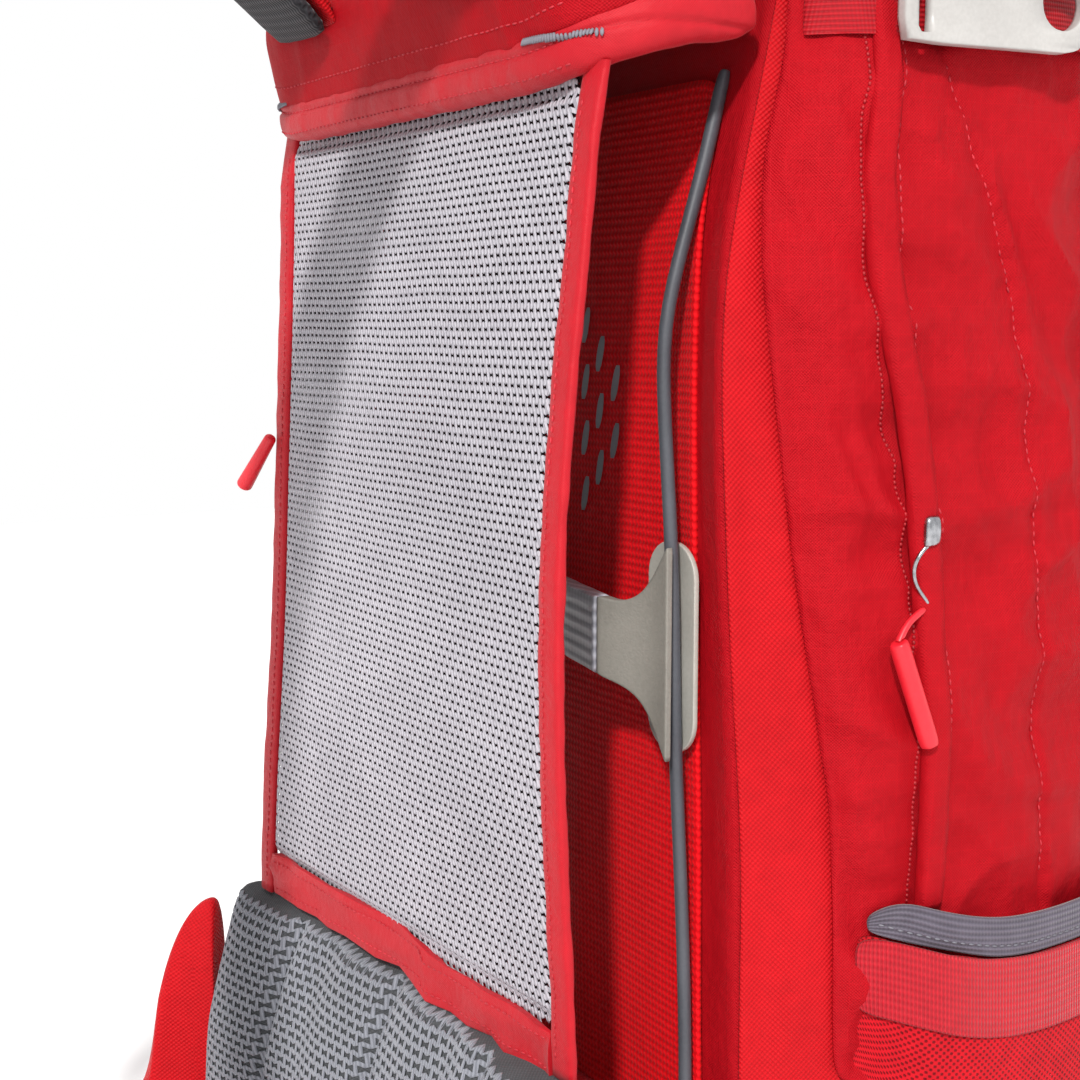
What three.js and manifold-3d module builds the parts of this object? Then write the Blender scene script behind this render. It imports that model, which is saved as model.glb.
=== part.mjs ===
// A hiking backpack with a tensioned mesh back held off its bag by two spring wires.
// Millimetres, +Z up. The wearer stands on the -Y side and faces -Y, so +X is their left.
// The origin is the middle of the base, on the surface that the backpack stands on.
import * as THREE from "three";
import { mergeVertices } from "three/addons/utils/BufferGeometryUtils.js";
import Module from "manifold-3d";

const wasm = await Module();
wasm.setup();

const { lerp, smoothstep, clamp } = THREE.MathUtils;

// Clearances and cloth
const gap = 0.35; // between neighbouring pieces
const cloth = 2.5; // wall of the bag and the base
const thinCloth = 1.8; // side panels and pockets
const webbing = 1.6; // thickness of every flat strap
const cutIn = 1; // how far a piece is drawn into what it is then cut to fit

// Bag
const bodyHeight = 560;
const backWidth = 250;
const bodyDepth = 210;
const sideBulge = 34; // pull of the side outline away from the back corner
const frontBulge = 8;
const frontRound = 28; // how far before the front face the side turns
const footRadius = 22;
const neckInset = 10; // how far the mouth is drawn in
const neckHeight = 45;
const overMouth = 4; // how far the clearance body stands above the mouth
const baseHeight = 52; // tough cloth up from the ground

// Back wall and the strips beside it
const panelInset = 18; // from the back's corner to the panel's edge
const panelThick = 2.4;
const panelLow = 112;
const panelDrop = 62; // from the mouth down to the panel's top edge
const gussetRise = 2; // of the gusset's foot above the base cloth
const gussetDrop = 6; // from the pocket's top edge down to the gusset's

// Top yoke that the mesh hangs from
const yokeDrop = 15; // yoke's top edge below the mouth
const yokeHeight = 55; // hem included
const yokeReach = 63; // hem's middle in front of the back wall
const yokeLean = 11; // how much further forward the top edge stands
const yokeCorner = 24;
const yokeRise = 16; // rise of the hem where it turns back to the bag
const yokeCloth = 3;
const yokeHalf = 129;
const yokeStop = 6; // how far before the back wall's plane its sides end
const yokeCrown = 5;
const yokeTuck = 2; // how far its top reaches in over the bag
const yokeSeam = 3; // rise of its top's rear edge
const yokeInset = 6; // from the back's corner to that edge's end
const hemHeight = 16;
const hemThick = 11;
const hemSet = 2; // how far the hem's front stands behind the yoke's

// Mesh and its edges
const meshWidth = 218;
const meshThick = 1.6;
const meshBelly = 14; // how far the mesh swings towards the wearer at the loins
const bindingWidth = 12;
const bindingThick = 4;
const ribbonHeight = 18;
const ribbonThick = 2;

// Spring wires, spreader and clips
const wireDiameter = 5.2;
const barHeight = 27;
const barThick = 7;
const barLevel = 308; // height of the bar's middle line
const barHalf = 73.5;
const barBow = 16; // how far the ends stand in front of the middle
const barStand = 12; // from the back wall to the bar's middle
const clipHeight = 74;
const clipReach = 27; // width of the clip's wing
const clipThick = 2.4;
const clipDrop = 4; // of the clip's middle below the bar's
const wingStand = 1.2; // of the wing before the wire

// Loin pad and hip belt
const loinTop = 166;
const loinWidth = 276;
const loinBulge = 22;
const loinWrap = 18; // how far its sides come forward
const loinSet = 2; // from the mesh's foot back to the pad's top edge
const ribSpacing = 55;
const ribDepth = 6;
const padEdge = 3; // half the pad's thickness at its thinnest
const beltThick = 9;
const finThick = 17;
const finSet = 26; // from the pad's rear forward to the fin's root
const finDrop = 4; // of the fin's root below the pad's top
const beltReach = 150; // from the loin pad forward to the fins' tips
const beltFront = 34; // from the fins' tips to the buckle
const beltTuck = 4; // how far its webbing starts inside the fin
const beltLevel = 40;
const shelfHeight = 120;
const shelfDepth = 42;
const shelfInset = 8; // from the back's corner to the block's end
const shelfTuck = 6; // how far it is drawn into the bag
const shelfSlope = 12; // fall of its top towards the pad
const beltWebbing = 38;
const beltBuckleWidth = 62;
const beltBuckleHeight = 48;
const beltBuckleThick = 12;
const beltBuckleRound = 8;
const beltBuckleEdge = 2; // how far its faces are drawn in

// Shoulder straps
const strapWidth = 64;
const strapThick = 6; // of each of the two layers
const strapApart = 124; // between the straps' middle lines at the yoke
const strapTape = 25;
const lockLength = 38;
const lockRim = 4;
const lockSlot = 3.5;
const lockThick = 5;

// Side pockets and straps
const pocketDrop = 20; // from the mouth down to the pocket's top edge
const pocketLow = 150;
const pocketPuff = 8;
const flapWidth = 9;
const flapTop = 3;
const flapSlope = 1.2; // fall of the strip towards its front edge
const flapRise = 6; // of its foot above the bottle pocket's edge
const flapDrop = 14; // from the pocket's top edge to its own
const bottleHeight = 206;
const bottleLow = 56;
const bottleSlack = 15; // room between bag and bottle pocket
const bottleSpread = 150; // its width along the bag
const bottleRise = 16; // how much higher its edge is at the back
const edgeTape = 14;
const edgeIn = 0.6; // elastic edge inside the pocket's cloth
const edgeOut = 2.4; // and outside it
const bandTape = 29;
const sideTape = 25;
const strapDrop = 40; // from the mouth down to the upper strap's middle line
const strapEase = 1; // of the upper strap off the pocket
const lowerRise = 22; // lower strap's start above the bottle pocket's foot
const lowerDrop = 44; // and its end below the pocket's edge
const lowerEase = 0.5;
const buckleLength = 76;
const buckleDepth = -30; // place of its middle from back to front
const buckleThick = 5;
const buckleRim = 3; // frame beyond the strap's edges
const buckleNose = 14; // where its sides end, from its front
const buckleRing = 4; // frame of the round eye
const buckleSlot = 5; // slot's width, and its place from the rear end
const buckleLift = 0.8;

// Zip pull
const sliderLevel = 333;
const pullDrop = 12; // from the ring's foot to the tube's top
const pullSwing = 9; // how far behind the zip the tube's top hangs
const pullStand = 6; // of the cord and tube off the pocket's cloth
const ringLength = 22;
const ringWire = 1.8;
const ringStand = 5; // off the pocket's cloth
const headLength = 10;
const headWidth = 7;
const headThick = 5;
const pullLength = 37;
const pullDiameter = 7.6;
const pullCord = 2.8;

// Haul loop on the yoke
const loopHalf = 32;
const loopRise = 26;
const loopSeat = 6; // how deep its feet are drawn into the yoke
const loopTape = 20;
const loopThick = 3;

// Lid
const lidTape = 25;
const lidStrapLength = 190;
const lidStrapTuck = 18; // how far it starts inside the rim
const lidBuckleDrop = 52; // from the lid's front rim down to its buckle's middle
const lidBuckleHeight = 44;
const lidBuckleThick = 7;
const lidBuckleRim = 5; // beyond the strap's edges
const lidCloth = 3.1; // the lid's wall
const lidRise = 88;
const lidOverhang = 9;
const lidSkirt = 8; // rim below the mouth at the back and sides
const lidDip = 46; // extra length of the rim at the front

// Materials
const paint = (hex, roughness, metalness = 0) =>
  new THREE.MeshStandardMaterial({ color: hex, roughness, metalness });
const materials = {
  ripstop: paint(0xe0202c, 0.55),
  pack: paint(0xd4121f, 0.8),
  binding: paint(0xee3040, 0.75),
  webbing: paint(0xd81c2b, 0.7),
  mesh: paint(0xb9b9c0, 0.85),
  pad: paint(0x7e8087, 0.9),
  lining: paint(0x2b2c2e, 0.9),
  tape: paint(0x6d6a73, 0.8),
  wire: paint(0x3c4046, 0.55),
  bar: paint(0x6b6d78, 0.6),
  clip: paint(0x8b8a86, 0.5),
  buckle: paint(0xb4b1ae, 0.4),
  steel: paint(0x8a8c90, 0.3, 1),
  rubber: paint(0xe62a3a, 0.5),
};

const pack = new THREE.Group();

// Solids from points and triangles

function solidOf(points, faces) {
  let volume = 0;
  for (const [a, b, c] of faces)
    volume += points[a].dot(points[b].clone().cross(points[c]));
  const turned = volume < 0 ? faces.map(([a, b, c]) => [a, c, b]) : faces;
  const geometry = new THREE.BufferGeometry().setFromPoints(points);
  geometry.setIndex(turned.flat());
  return manifoldOf(geometry);
}

function manifoldOf(geometry) {
  const bare = new THREE.BufferGeometry();
  bare.setAttribute("position", geometry.getAttribute("position"));
  bare.setIndex(geometry.index);
  const merged = mergeVertices(bare, 1e-4);
  const index = merged.index.array;
  const kept = [];
  for (let i = 0; i < index.length; i += 3) {
    const [a, b, c] = index.subarray(i, i + 3);
    if (a !== b && b !== c && c !== a) kept.push(a, b, c);
  }
  return new wasm.Manifold(
    new wasm.Mesh({
      numProp: 3,
      vertProperties: new Float32Array(merged.getAttribute("position").array),
      triVerts: new Uint32Array(kept),
    }),
  );
}

// A skin through closed loops of equally many points, capped at both ends.
function loft(loops) {
  const count = loops[0].length;
  const points = loops.flat();
  const faces = [];
  for (let row = 0; row < loops.length - 1; row++)
    for (let i = 0; i < count; i++) {
      const a = row * count + i;
      const b = row * count + ((i + 1) % count);
      if (i < count / 2) faces.push([a, b, b + count], [a, b + count, a + count]);
      else faces.push([a, b, a + count], [b, b + count, a + count]);
    }
  const cap = (start, flip) => {
    const middle = new THREE.Vector3();
    for (let i = 0; i < count; i++) middle.add(points[start + i]);
    points.push(middle.divideScalar(count));
    const hub = points.length - 1;
    for (let i = 0; i < count; i++) {
      const edge = [start + i, start + ((i + 1) % count)];
      faces.push(flip ? [hub, edge[1], edge[0]] : [hub, edge[0], edge[1]]);
    }
  };
  cap(0, true);
  cap((loops.length - 1) * count, false);
  return solidOf(points, faces);
}

// A sheet between two offsets of a surface: at(u, v, side) gives a point, side 0 inside and 1 outside.
// Its two halves mirror each other, so that a piece cut to fit one side also fits the other.
function sheet(at, across, along) {
  const points = [];
  const faces = [];
  const place = (i, j, side) => (j * (across + 1) + i) * 2 + side;
  for (let j = 0; j <= along; j++)
    for (let i = 0; i <= across; i++)
      for (const side of [0, 1]) points.push(at(i / across, j / along, side));
  const quad = (a, b, c, d) => faces.push([a, b, c], [a, c, d]);
  const turned = (a, b, c, d) => quad(b, c, d, a); // the other diagonal
  for (let j = 0; j < along; j++)
    for (let i = 0; i < across; i++) {
      const face = i < across / 2 ? quad : turned;
      face(place(i, j, 1), place(i + 1, j, 1), place(i + 1, j + 1, 1), place(i, j + 1, 1));
      face(place(i, j, 0), place(i, j + 1, 0), place(i + 1, j + 1, 0), place(i + 1, j, 0));
    }
  for (let i = 0; i < across; i++) {
    quad(place(i, 0, 0), place(i + 1, 0, 0), place(i + 1, 0, 1), place(i, 0, 1));
    quad(place(i, along, 1), place(i + 1, along, 1), place(i + 1, along, 0), place(i, along, 0));
  }
  for (let j = 0; j < along; j++) {
    quad(place(0, j, 1), place(0, j + 1, 1), place(0, j + 1, 0), place(0, j, 0));
    quad(place(across, j, 0), place(across, j + 1, 0), place(across, j + 1, 1), place(across, j, 1));
  }
  return solidOf(points, faces);
}

// A rounded bar through stations: where it is, its wide and thick directions, and its size there.
function sweep(stations, points = 10, square = 0.45) {
  const loops = stations.map(({ at, wide, thick, width, thickness }) =>
    Array.from({ length: points }, (_, i) => {
      const angle = ((i + 0.5) / points) * Math.PI * 2;
      const bend = (k) => Math.sign(k) * Math.abs(k) ** square;
      return at
        .clone()
        .addScaledVector(wide, (bend(Math.cos(angle)) * width) / 2)
        .addScaledVector(thick, (bend(Math.sin(angle)) * thickness) / 2);
    }),
  );
  return loft(loops);
}

// A strap along a curve, its width turned to lie as near as it can to one direction.
function strapAlong(curve, steps, facing, width, thickness, points, square, lift = 0) {
  const stations = [];
  for (let i = 0; i <= steps; i++) {
    const t = i / steps;
    const ahead = curve.getTangentAt(t);
    const toward = typeof facing === "function" ? facing(t) : facing;
    const thick = new THREE.Vector3().crossVectors(ahead, toward).normalize();
    const wide = new THREE.Vector3().crossVectors(thick, ahead).normalize();
    const size = typeof width === "function" ? width(t) : width;
    const at = curve.getPointAt(t).addScaledVector(thick, lift);
    stations.push({ at, wide, thick, width: size, thickness });
  }
  return sweep(stations, points, square);
}

const vec = (x, y, z) => new THREE.Vector3(x, y, z);

// Takes the others out of a solid, and keeps its main body.
function cut(solid, ...others) {
  const bodies = others.reduce((a, b) => a.subtract(b), solid).decompose();
  return bodies.reduce((a, b) => (a.volume() > b.volume() ? a : b));
}

function addMesh(name, solid, material) {
  const { vertProperties, triVerts, numProp } = solid.getMesh();
  const position = new Float32Array((vertProperties.length / numProp) * 3);
  for (let i = 0; i < position.length / 3; i++)
    position.set(vertProperties.subarray(i * numProp, i * numProp + 3), i * 3);
  const geometry = new THREE.BufferGeometry();
  geometry.setAttribute("position", new THREE.BufferAttribute(position, 3));
  geometry.setIndex(new THREE.BufferAttribute(triVerts, 1));
  geometry.computeVertexNormals();
  const mesh = new THREE.Mesh(geometry, material);
  mesh.name = name;
  pack.add(mesh);
  return mesh;
}

// The same solid on both sides of the backpack.
function addPair(name, solid, material) {
  addMesh(name + "_left", solid, material);
  addMesh(name + "_right", solid, material).scale.x = -1;
}

// A smooth curve through a column of a table whose first column holds the places.
function columnOf(table, place, column) {
  const places = table.map((row) => row[place]);
  const values = table.map((row) => row[column]);
  const curve = new THREE.CubicInterpolant(places, values, 1);
  return (t) => curve.evaluate(clamp(t, places[0], places.at(-1)))[0];
}

// Shape of the bag

const backFace = -bodyDepth / 2;
const outlineSpan = 360; // millimetres of cloth for one unit of the half outline
const halfBack = backWidth / 2;
const panelWidth = backWidth - 2 * panelInset;
const pocketTop = bodyHeight - pocketDrop;
const strapLevel = bodyHeight - strapDrop;
const lift = cloth + gap; // the bag's underside stands on the base panel

// Height as a share of the bag's; the back wall's edge and middle as shares of its width.
const backShape = [
  { height: 0.0, edge: 0.02, middle: 0.03 },
  { height: 0.3, edge: -0.004, middle: 0.004 },
  { height: 0.45, edge: -0.006, middle: 0.0 },
  { height: 0.55, edge: -0.03, middle: 0.0 },
  { height: 0.65, edge: -0.044, middle: 0.0 },
  { height: 0.74, edge: -0.05, middle: 0.0 },
  { height: 0.83, edge: -0.028, middle: 0.008 },
  { height: 0.9, edge: 0.03, middle: 0.03 },
  { height: 1.0, edge: 0.05, middle: 0.05 },
];
const edgeShare = columnOf(backShape, "height", "edge");
const middleShare = columnOf(backShape, "height", "middle");
const sBack = 0.22; // share of the half outline that is the back wall
const sSide = 0.72; // and where the side ends and the front begins

function outlineAt(s, z) {
  const t = z / bodyHeight;
  const edge = backFace + edgeShare(t) * backWidth;
  const middle = backFace + middleShare(t) * backWidth;
  if (s <= sBack) {
    const k = s / sBack;
    return new THREE.Vector2(k * halfBack, lerp(middle, edge, k ** 6));
  }
  const front = -backFace - neckInset * smoothstep(t, 0.75, 1);
  const turn = new THREE.Vector2(halfBack + sideBulge * 0.06, front - frontRound);
  if (s <= sSide) {
    const side = new THREE.CubicBezierCurve(
      new THREE.Vector2(halfBack, edge),
      new THREE.Vector2(halfBack + sideBulge * 0.62, lerp(edge, front, 0.22)),
      new THREE.Vector2(halfBack + sideBulge, lerp(edge, front, 0.6)),
      turn,
    );
    return side.getPoint((s - sBack) / (sSide - sBack));
  }
  const face = new THREE.CubicBezierCurve(
    turn,
    new THREE.Vector2(halfBack * 0.84, front + frontBulge * 0.25),
    new THREE.Vector2(halfBack * 0.45, front + frontBulge),
    new THREE.Vector2(0, front + frontBulge),
  );
  return face.getPoint((s - sSide) / (1 - sSide));
}

const neckShrink = (z) => neckInset * smoothstep(z, bodyHeight - neckHeight, bodyHeight);

// A point of the bag's +X half, out from its cloth by some height.
function bodyPoint(s, z, out = 0) {
  const step = 0.008;
  const here = outlineAt(clamp(s, 0, 1), z);
  const along = outlineAt(clamp(s + step, 0, 1), z).sub(outlineAt(clamp(s - step, 0, 1), z));
  along.normalize();
  const reach = out - neckShrink(z);
  return vec(here.x + along.y * reach, here.y - along.x * reach, z);
}

// Where along the outline the side reaches a given depth.
function sideAt(y, z) {
  let low = sBack;
  let high = sSide;
  for (let i = 0; i < 24; i++) {
    const middle = (low + high) / 2;
    if (outlineAt(middle, z).y < y) low = middle;
    else high = middle;
  }
  return (low + high) / 2;
}

const sidePoint = (y, z, out) => bodyPoint(sideAt(y, z), z, out);

const outlineStops = [];
for (const share of [0, 0.5, 0.86, 1]) outlineStops.push(sBack * share);
for (let i = 1; i <= 5; i++) outlineStops.push(lerp(sBack, sSide, i / 5));
for (let i = 1; i <= 4; i++) outlineStops.push(lerp(sSide, 1, i / 4));

// A level loop round the bag; change(s) can move each point.
function bodyLoop(z, out, change = (point) => point) {
  const half = outlineStops.map((s) => change(bodyPoint(s, z, out), s));
  const other = half.slice(1, -1).map((p) => vec(-p.x, p.y, p.z));
  return [...half, ...other.reverse()];
}

// Loops round the foot's curve, some distance out from the bag's cloth.
function footLoops(out) {
  return [0, 30, 60, 90].map((degrees) => {
    const a = THREE.MathUtils.degToRad(degrees);
    const z = lift + footRadius - (footRadius + out) * Math.cos(a);
    return bodyLoop(lift + footRadius, (footRadius + out) * Math.sin(a) - footRadius, (p) =>
      vec(p.x, p.y, z),
    );
  });
}

const bodyShares = [0.2, 0.36, 0.5, 0.6, 0.7, 0.79, 0.87, 0.94, 1.0];

function bodyWall(out) {
  return [...footLoops(out), ...bodyShares.map((share) => bodyLoop(share * bodyHeight, out))];
}

function filledBody(grow) {
  const loops = bodyWall(grow);
  loops.push(loops.at(-1).map((p) => vec(p.x, p.y, p.z + overMouth)));
  return loft(loops);
}

function mainBag() {
  return loft([...bodyWall(0), ...bodyWall(-cloth).reverse()]);
}

const clearBody = filledBody(gap);

function basePanel(grow = 0) {
  const rim = (out) => bodyLoop(baseHeight + grow, out);
  const outer = [...footLoops(gap + cloth + grow), rim(gap + cloth + grow)];
  const inner = [...footLoops(0), rim(0)];
  return cut(loft([...outer, ...inner.reverse()]), clearBody);
}

function backPanel(grow = 0) {
  const high = bodyHeight - panelDrop + grow;
  const half = panelWidth / 2 + grow;
  const place = (u, v, side) => {
    const x = lerp(-half, half, u);
    const z = lerp(panelLow - grow, high, v);
    const p = bodyPoint((Math.abs(x) / halfBack) * sBack, z, 0);
    return vec(x, p.y - (side ? gap + panelThick + grow : -cutIn), z);
  };
  return cut(sheet(place, 8, 9), clearBody);
}

// Side panel of coarse cloth from the back seam to beneath the zipped pocket.

// Height as a share of the bag's; where the zipped pocket's edge and its zip lie, from back (0) to front (1).
const sideLines = [
  { height: 0.26, edge: 0.21, zip: 0.36, seam: 0.61 },
  { height: 0.4, edge: 0.2, zip: 0.36, seam: 0.6 },
  { height: 0.52, edge: 0.17, zip: 0.36, seam: 0.57 },
  { height: 0.6, edge: 0.14, zip: 0.345, seam: 0.53 },
  { height: 0.7, edge: 0.11, zip: 0.31, seam: 0.49 },
  { height: 0.81, edge: 0.06, zip: 0.24, seam: 0.42 },
  { height: 0.91, edge: 0.03, zip: 0.19, seam: 0.3 },
  { height: 0.97, edge: 0.02, zip: 0.16, seam: 0.25 },
];
const edgeLine = columnOf(sideLines, "height", "edge");
const zipLine = columnOf(sideLines, "height", "zip");
const seamLine = columnOf(sideLines, "height", "seam");
const alongSide = (share) => lerp(sBack, sSide, share);

const gussetOut = gap + thinCloth;

function sideGusset(grow = 0) {
  const place = (u, v, side) => {
    const z = lerp(baseHeight + gussetRise - grow, pocketTop - gussetDrop + grow, v);
    const end = alongSide(edgeLine(z / bodyHeight) + 0.07) + grow / outlineSpan;
    return bodyPoint(lerp(sBack + 0.006, end, u), z, side ? gussetOut + grow : -cutIn);
  };
  return cut(sheet(place, 2, 10), clearBody);
}

// Zipped pocket

// Folds of the thin cloth: place up the pocket, place across it, height and reach as shares of the puff.
const pocketFolds = [
  { up: 0.9, across: 0.12, high: 0.35, reach: 0.07 },
  { up: 0.74, across: 0.2, high: -0.4, reach: 0.06 },
  { up: 0.55, across: 0.1, high: 0.3, reach: 0.08 },
  { up: 0.4, across: 0.25, high: -0.35, reach: 0.07 },
  { up: 0.3, across: 0.1, high: 0.3, reach: 0.05 },
  { up: 0.6, across: 0.6, high: 0.35, reach: 0.1 },
  { up: 0.8, across: 0.7, high: -0.3, reach: 0.09 },
  { up: 0.35, across: 0.75, high: 0.3, reach: 0.09 },
];

const pocketSpan = (z) => [alongSide(edgeLine(z / bodyHeight)), sSide - 0.012];

function pocketOut(s, z) {
  const [start, end] = pocketSpan(z);
  const u = (s - start) / (end - start);
  const v = (z - pocketLow) / (pocketTop - pocketLow);
  const open = smoothstep(u, -0.02, 0.1) * (1 - smoothstep(u, 0.86, 1));
  const tall = smoothstep(v, 0.12, 0.4) * (1 - 0.75 * smoothstep(v, 0.86, 1));
  let fold = 0;
  for (const { up, across, high, reach } of pocketFolds) {
    const away = ((v - up) / reach) ** 2 + ((u - across) / 0.12) ** 2;
    fold += high * Math.exp(-away);
  }
  const valley = -0.25 * Math.exp(-(((s - alongSide(zipLine(z / bodyHeight))) / 0.02) ** 2));
  return gussetOut + gap + pocketPuff * open * (0.25 + 0.75 * tall) * (1 + fold + valley);
}

function sidePocket(grow = 0) {
  const place = (u, v, side) => {
    const z = lerp(pocketLow - grow, pocketTop + grow, v);
    const [start, end] = pocketSpan(z);
    const s = lerp(start - grow / outlineSpan, end + grow / outlineSpan, u);
    const out = pocketOut(s, z);
    return bodyPoint(s, z, side ? out + thinCloth + grow : out - grow);
  };
  return sheet(place, 9, 11);
}

const clearPocket = sidePocket(gap);
const onPocket = (s, z) => pocketOut(s, z) + thinCloth + gap;

// Strip that covers the zip.
function zipFlap(grow = 0) {
  const place = (u, v, side) => {
    const z = lerp(bottleHeight + flapRise - grow, pocketTop - flapDrop + grow, v);
    const s = alongSide(zipLine(z / bodyHeight)) + lerp(-grow, flapWidth + grow, u) / outlineSpan;
    const top = side ? flapTop + grow - flapSlope * u : -cutIn;
    return bodyPoint(s, z, onPocket(s, z) + top);
  };
  return sheet(place, 1, 10);
}

const clearFlap = zipFlap(gap);

// Where the zip's slider, its wire loop and its pull hang, out from the pocket's cloth.
function zipSpot(z, back, out) {
  const level = Math.min(z, sliderLevel);
  const s = alongSide(zipLine(level / bodyHeight)) - back / outlineSpan;
  return bodyPoint(s, z, onPocket(s, z) + out);
}

const zipFront = -flapWidth / 2; // the slider's place, forward of the strip's rear edge

// The ring's bend: up and back as shares of its length, out as a share of its stand.
const ringRoute = [
  { up: 0.5, back: 0, out: 0.92 },
  { up: 0.14, back: 0.25, out: 1.04 },
  { up: -0.14, back: 0.25, out: 1.04 },
  { up: -0.5, back: 0.05, out: 1 },
];

function zipSlider() {
  const spots = ringRoute.map(({ up, back, out }) =>
    zipSpot(sliderLevel + up * ringLength, zipFront + back * ringLength, out * ringStand),
  );
  const curve = new THREE.CatmullRomCurve3(spots);
  const loop = strapAlong(curve, 7, vec(1, 0, 0), ringWire, ringWire, 5, 1);
  const foot = sliderLevel + ringLength / 2 - headLength * 0.2;
  const top = zipSpot(foot + headLength, zipFront, ringStand * 0.84);
  const low = zipSpot(foot, zipFront, ringStand * 0.88);
  const head = strapAlong(new THREE.LineCurve3(top, low), 1, vec(0, 1, 0), headWidth, headThick, 8, 0.5);
  return cut(loop.add(head), clearPocket, clearFlap);
}

const ringFoot = sliderLevel - ringLength / 2;
const pullTop = () => zipSpot(ringFoot - pullDrop, pullSwing, pullStand);

function pullCordSolid() {
  const curve = new THREE.CatmullRomCurve3([
    zipSpot(ringFoot - ringWire, zipFront * 0.5, ringStand),
    zipSpot(ringFoot - pullDrop / 2, pullSwing * 0.5, pullStand),
    pullTop(),
  ]);
  const cord = strapAlong(curve, 4, vec(1, 0, 0), pullCord, pullCord, 6, 1);
  return cut(cord, clearPocket, clearFlap, pullTubeSolid(gap));
}

function pullTubeSolid(grow = 0) {
  const end = zipSpot(ringFoot - pullDrop - pullLength, 0, pullStand);
  const curve = new THREE.LineCurve3(pullTop().lerp(end, -grow / pullLength), end);
  const size = pullDiameter + 2 * grow;
  return cut(strapAlong(curve, 2, vec(1, 0, 0), size, size, 8, 1), clearPocket, clearFlap);
}

// Bottle pocket on the side, its elastic edge and the tape under that

const bottleSpan = [alongSide(0.245), sSide - 0.004];

function bottleTop(u) {
  return bottleHeight + bottleRise * (1 - smoothstep(u, -0.1, 0.45));
}

// Height of the bottle pocket's cloth off the bag, from the foot (v 0) to the edge (v 1).
function bottleOut(u, v) {
  const open = smoothstep(u, 0, 0.2) * (1 - smoothstep(u, 0.82, 1));
  const swell = smoothstep(v, 0, 0.35) - 0.12 * smoothstep(v, 0.6, 1);
  return gussetOut + gap + bottleSlack * open * swell;
}

function onBottle(u, z, out) {
  const s = lerp(bottleSpan[0], bottleSpan[1], u);
  const v = (z - bottleLow) / (bottleTop(u) - bottleLow);
  return bodyPoint(s, z, bottleOut(u, clamp(v, 0, 1)) + out);
}

// A band of the pocket between two depths below its edge, from one height off its cloth to another.
function bottleBand(from, to, low, high, rows, columns = 10) {
  const place = (u, v, side) =>
    onBottle(u, lerp(bottleTop(u) - to, bottleTop(u) - from, v), side ? high : low);
  return sheet(place, columns, rows);
}

function bottlePocket(grow = 0) {
  const place = (u, v, side) => {
    const z = lerp(bottleLow - grow, bottleTop(u) - edgeTape - gap + grow, v);
    return onBottle(u + ((2 * u - 1) * grow) / bottleSpread, z, side ? thinCloth + grow : -grow);
  };
  return sheet(place, 10, 5);
}

// Straps on the side

function sideStrap(from, to, levelFrom, levelTo, width, out, steps) {
  const place = (u, v, side) => {
    const s = lerp(from, to, u);
    const z = lerp(levelFrom, levelTo, u) + (v - 0.5) * width;
    return bodyPoint(s, z, out(s, lerp(levelFrom, levelTo, u)) + (side ? webbing : 0));
  };
  return sheet(place, steps, 1);
}

const upperStrapOut = (s, z) => Math.max(gussetOut + gap, pocketOut(s, z) + thinCloth + flapTop + gap);

function upperStrap() {
  const out = (s, z) => upperStrapOut(s, z) * smoothstep(s, sBack - 0.03, sBack + 0.1) + strapEase;
  return sideStrap(sBack + 0.03, sSide + 0.03, strapLevel, strapLevel, sideTape, out, 12);
}

// Stands a flat drawing against the bag's side: its x towards the front, its y up.
function onSide(geometry, y, z, out) {
  const s = sideAt(y, z);
  const base = bodyPoint(s, z, out);
  const normal = bodyPoint(s, z, out + 1).sub(base).normalize();
  const along = vec(-normal.y, normal.x, 0);
  const basis = new THREE.Matrix4().makeBasis(along, vec(0, 0, 1), normal);
  geometry.applyMatrix4(basis.setPosition(base));
  return manifoldOf(geometry);
}

function strapBuckle() {
  const half = sideTape / 2;
  const shape = new THREE.Shape();
  const rear = -buckleLength / 2;
  shape.moveTo(rear, -half - buckleRim);
  shape.lineTo(buckleLength / 2 - buckleNose, -half - buckleRim);
  shape.absarc(buckleLength / 2 - half, 0, half + buckleRim, -Math.PI / 2, Math.PI / 2, false);
  shape.lineTo(rear, half + buckleRim);
  const eye = new THREE.Path().absarc(buckleLength / 2 - half, 0, half - buckleRing, 0, Math.PI * 2, true);
  const slot = new THREE.Path();
  slot.moveTo(rear + buckleSlot, -half).lineTo(rear + buckleSlot, half);
  slot.lineTo(rear + 2 * buckleSlot, half).lineTo(rear + 2 * buckleSlot, -half);
  shape.holes.push(eye, slot);
  const plate = new THREE.ExtrudeGeometry(shape, {
    depth: buckleThick,
    bevelEnabled: false,
    curveSegments: 10,
  });
  const strap = upperStrapOut(sideAt(buckleDepth, strapLevel), strapLevel) + strapEase + webbing;
  return onSide(plate, buckleDepth, strapLevel, strap + buckleLift);
}

// Lower strap, sewn low at the back and rising to the front across the bottle pocket.
function lowerStrap() {
  const place = (u, v, side) => {
    const across = lerp(0.5, 0.97, u);
    const z = lerp(bottleLow + lowerRise, bottleHeight - lowerDrop, u) + (v - 0.5) * sideTape;
    return onBottle(across, z, thinCloth + gap + lowerEase + (side ? webbing : 0));
  };
  return cut(sheet(place, 5, 1), clearTape);
}

// Yoke

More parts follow.
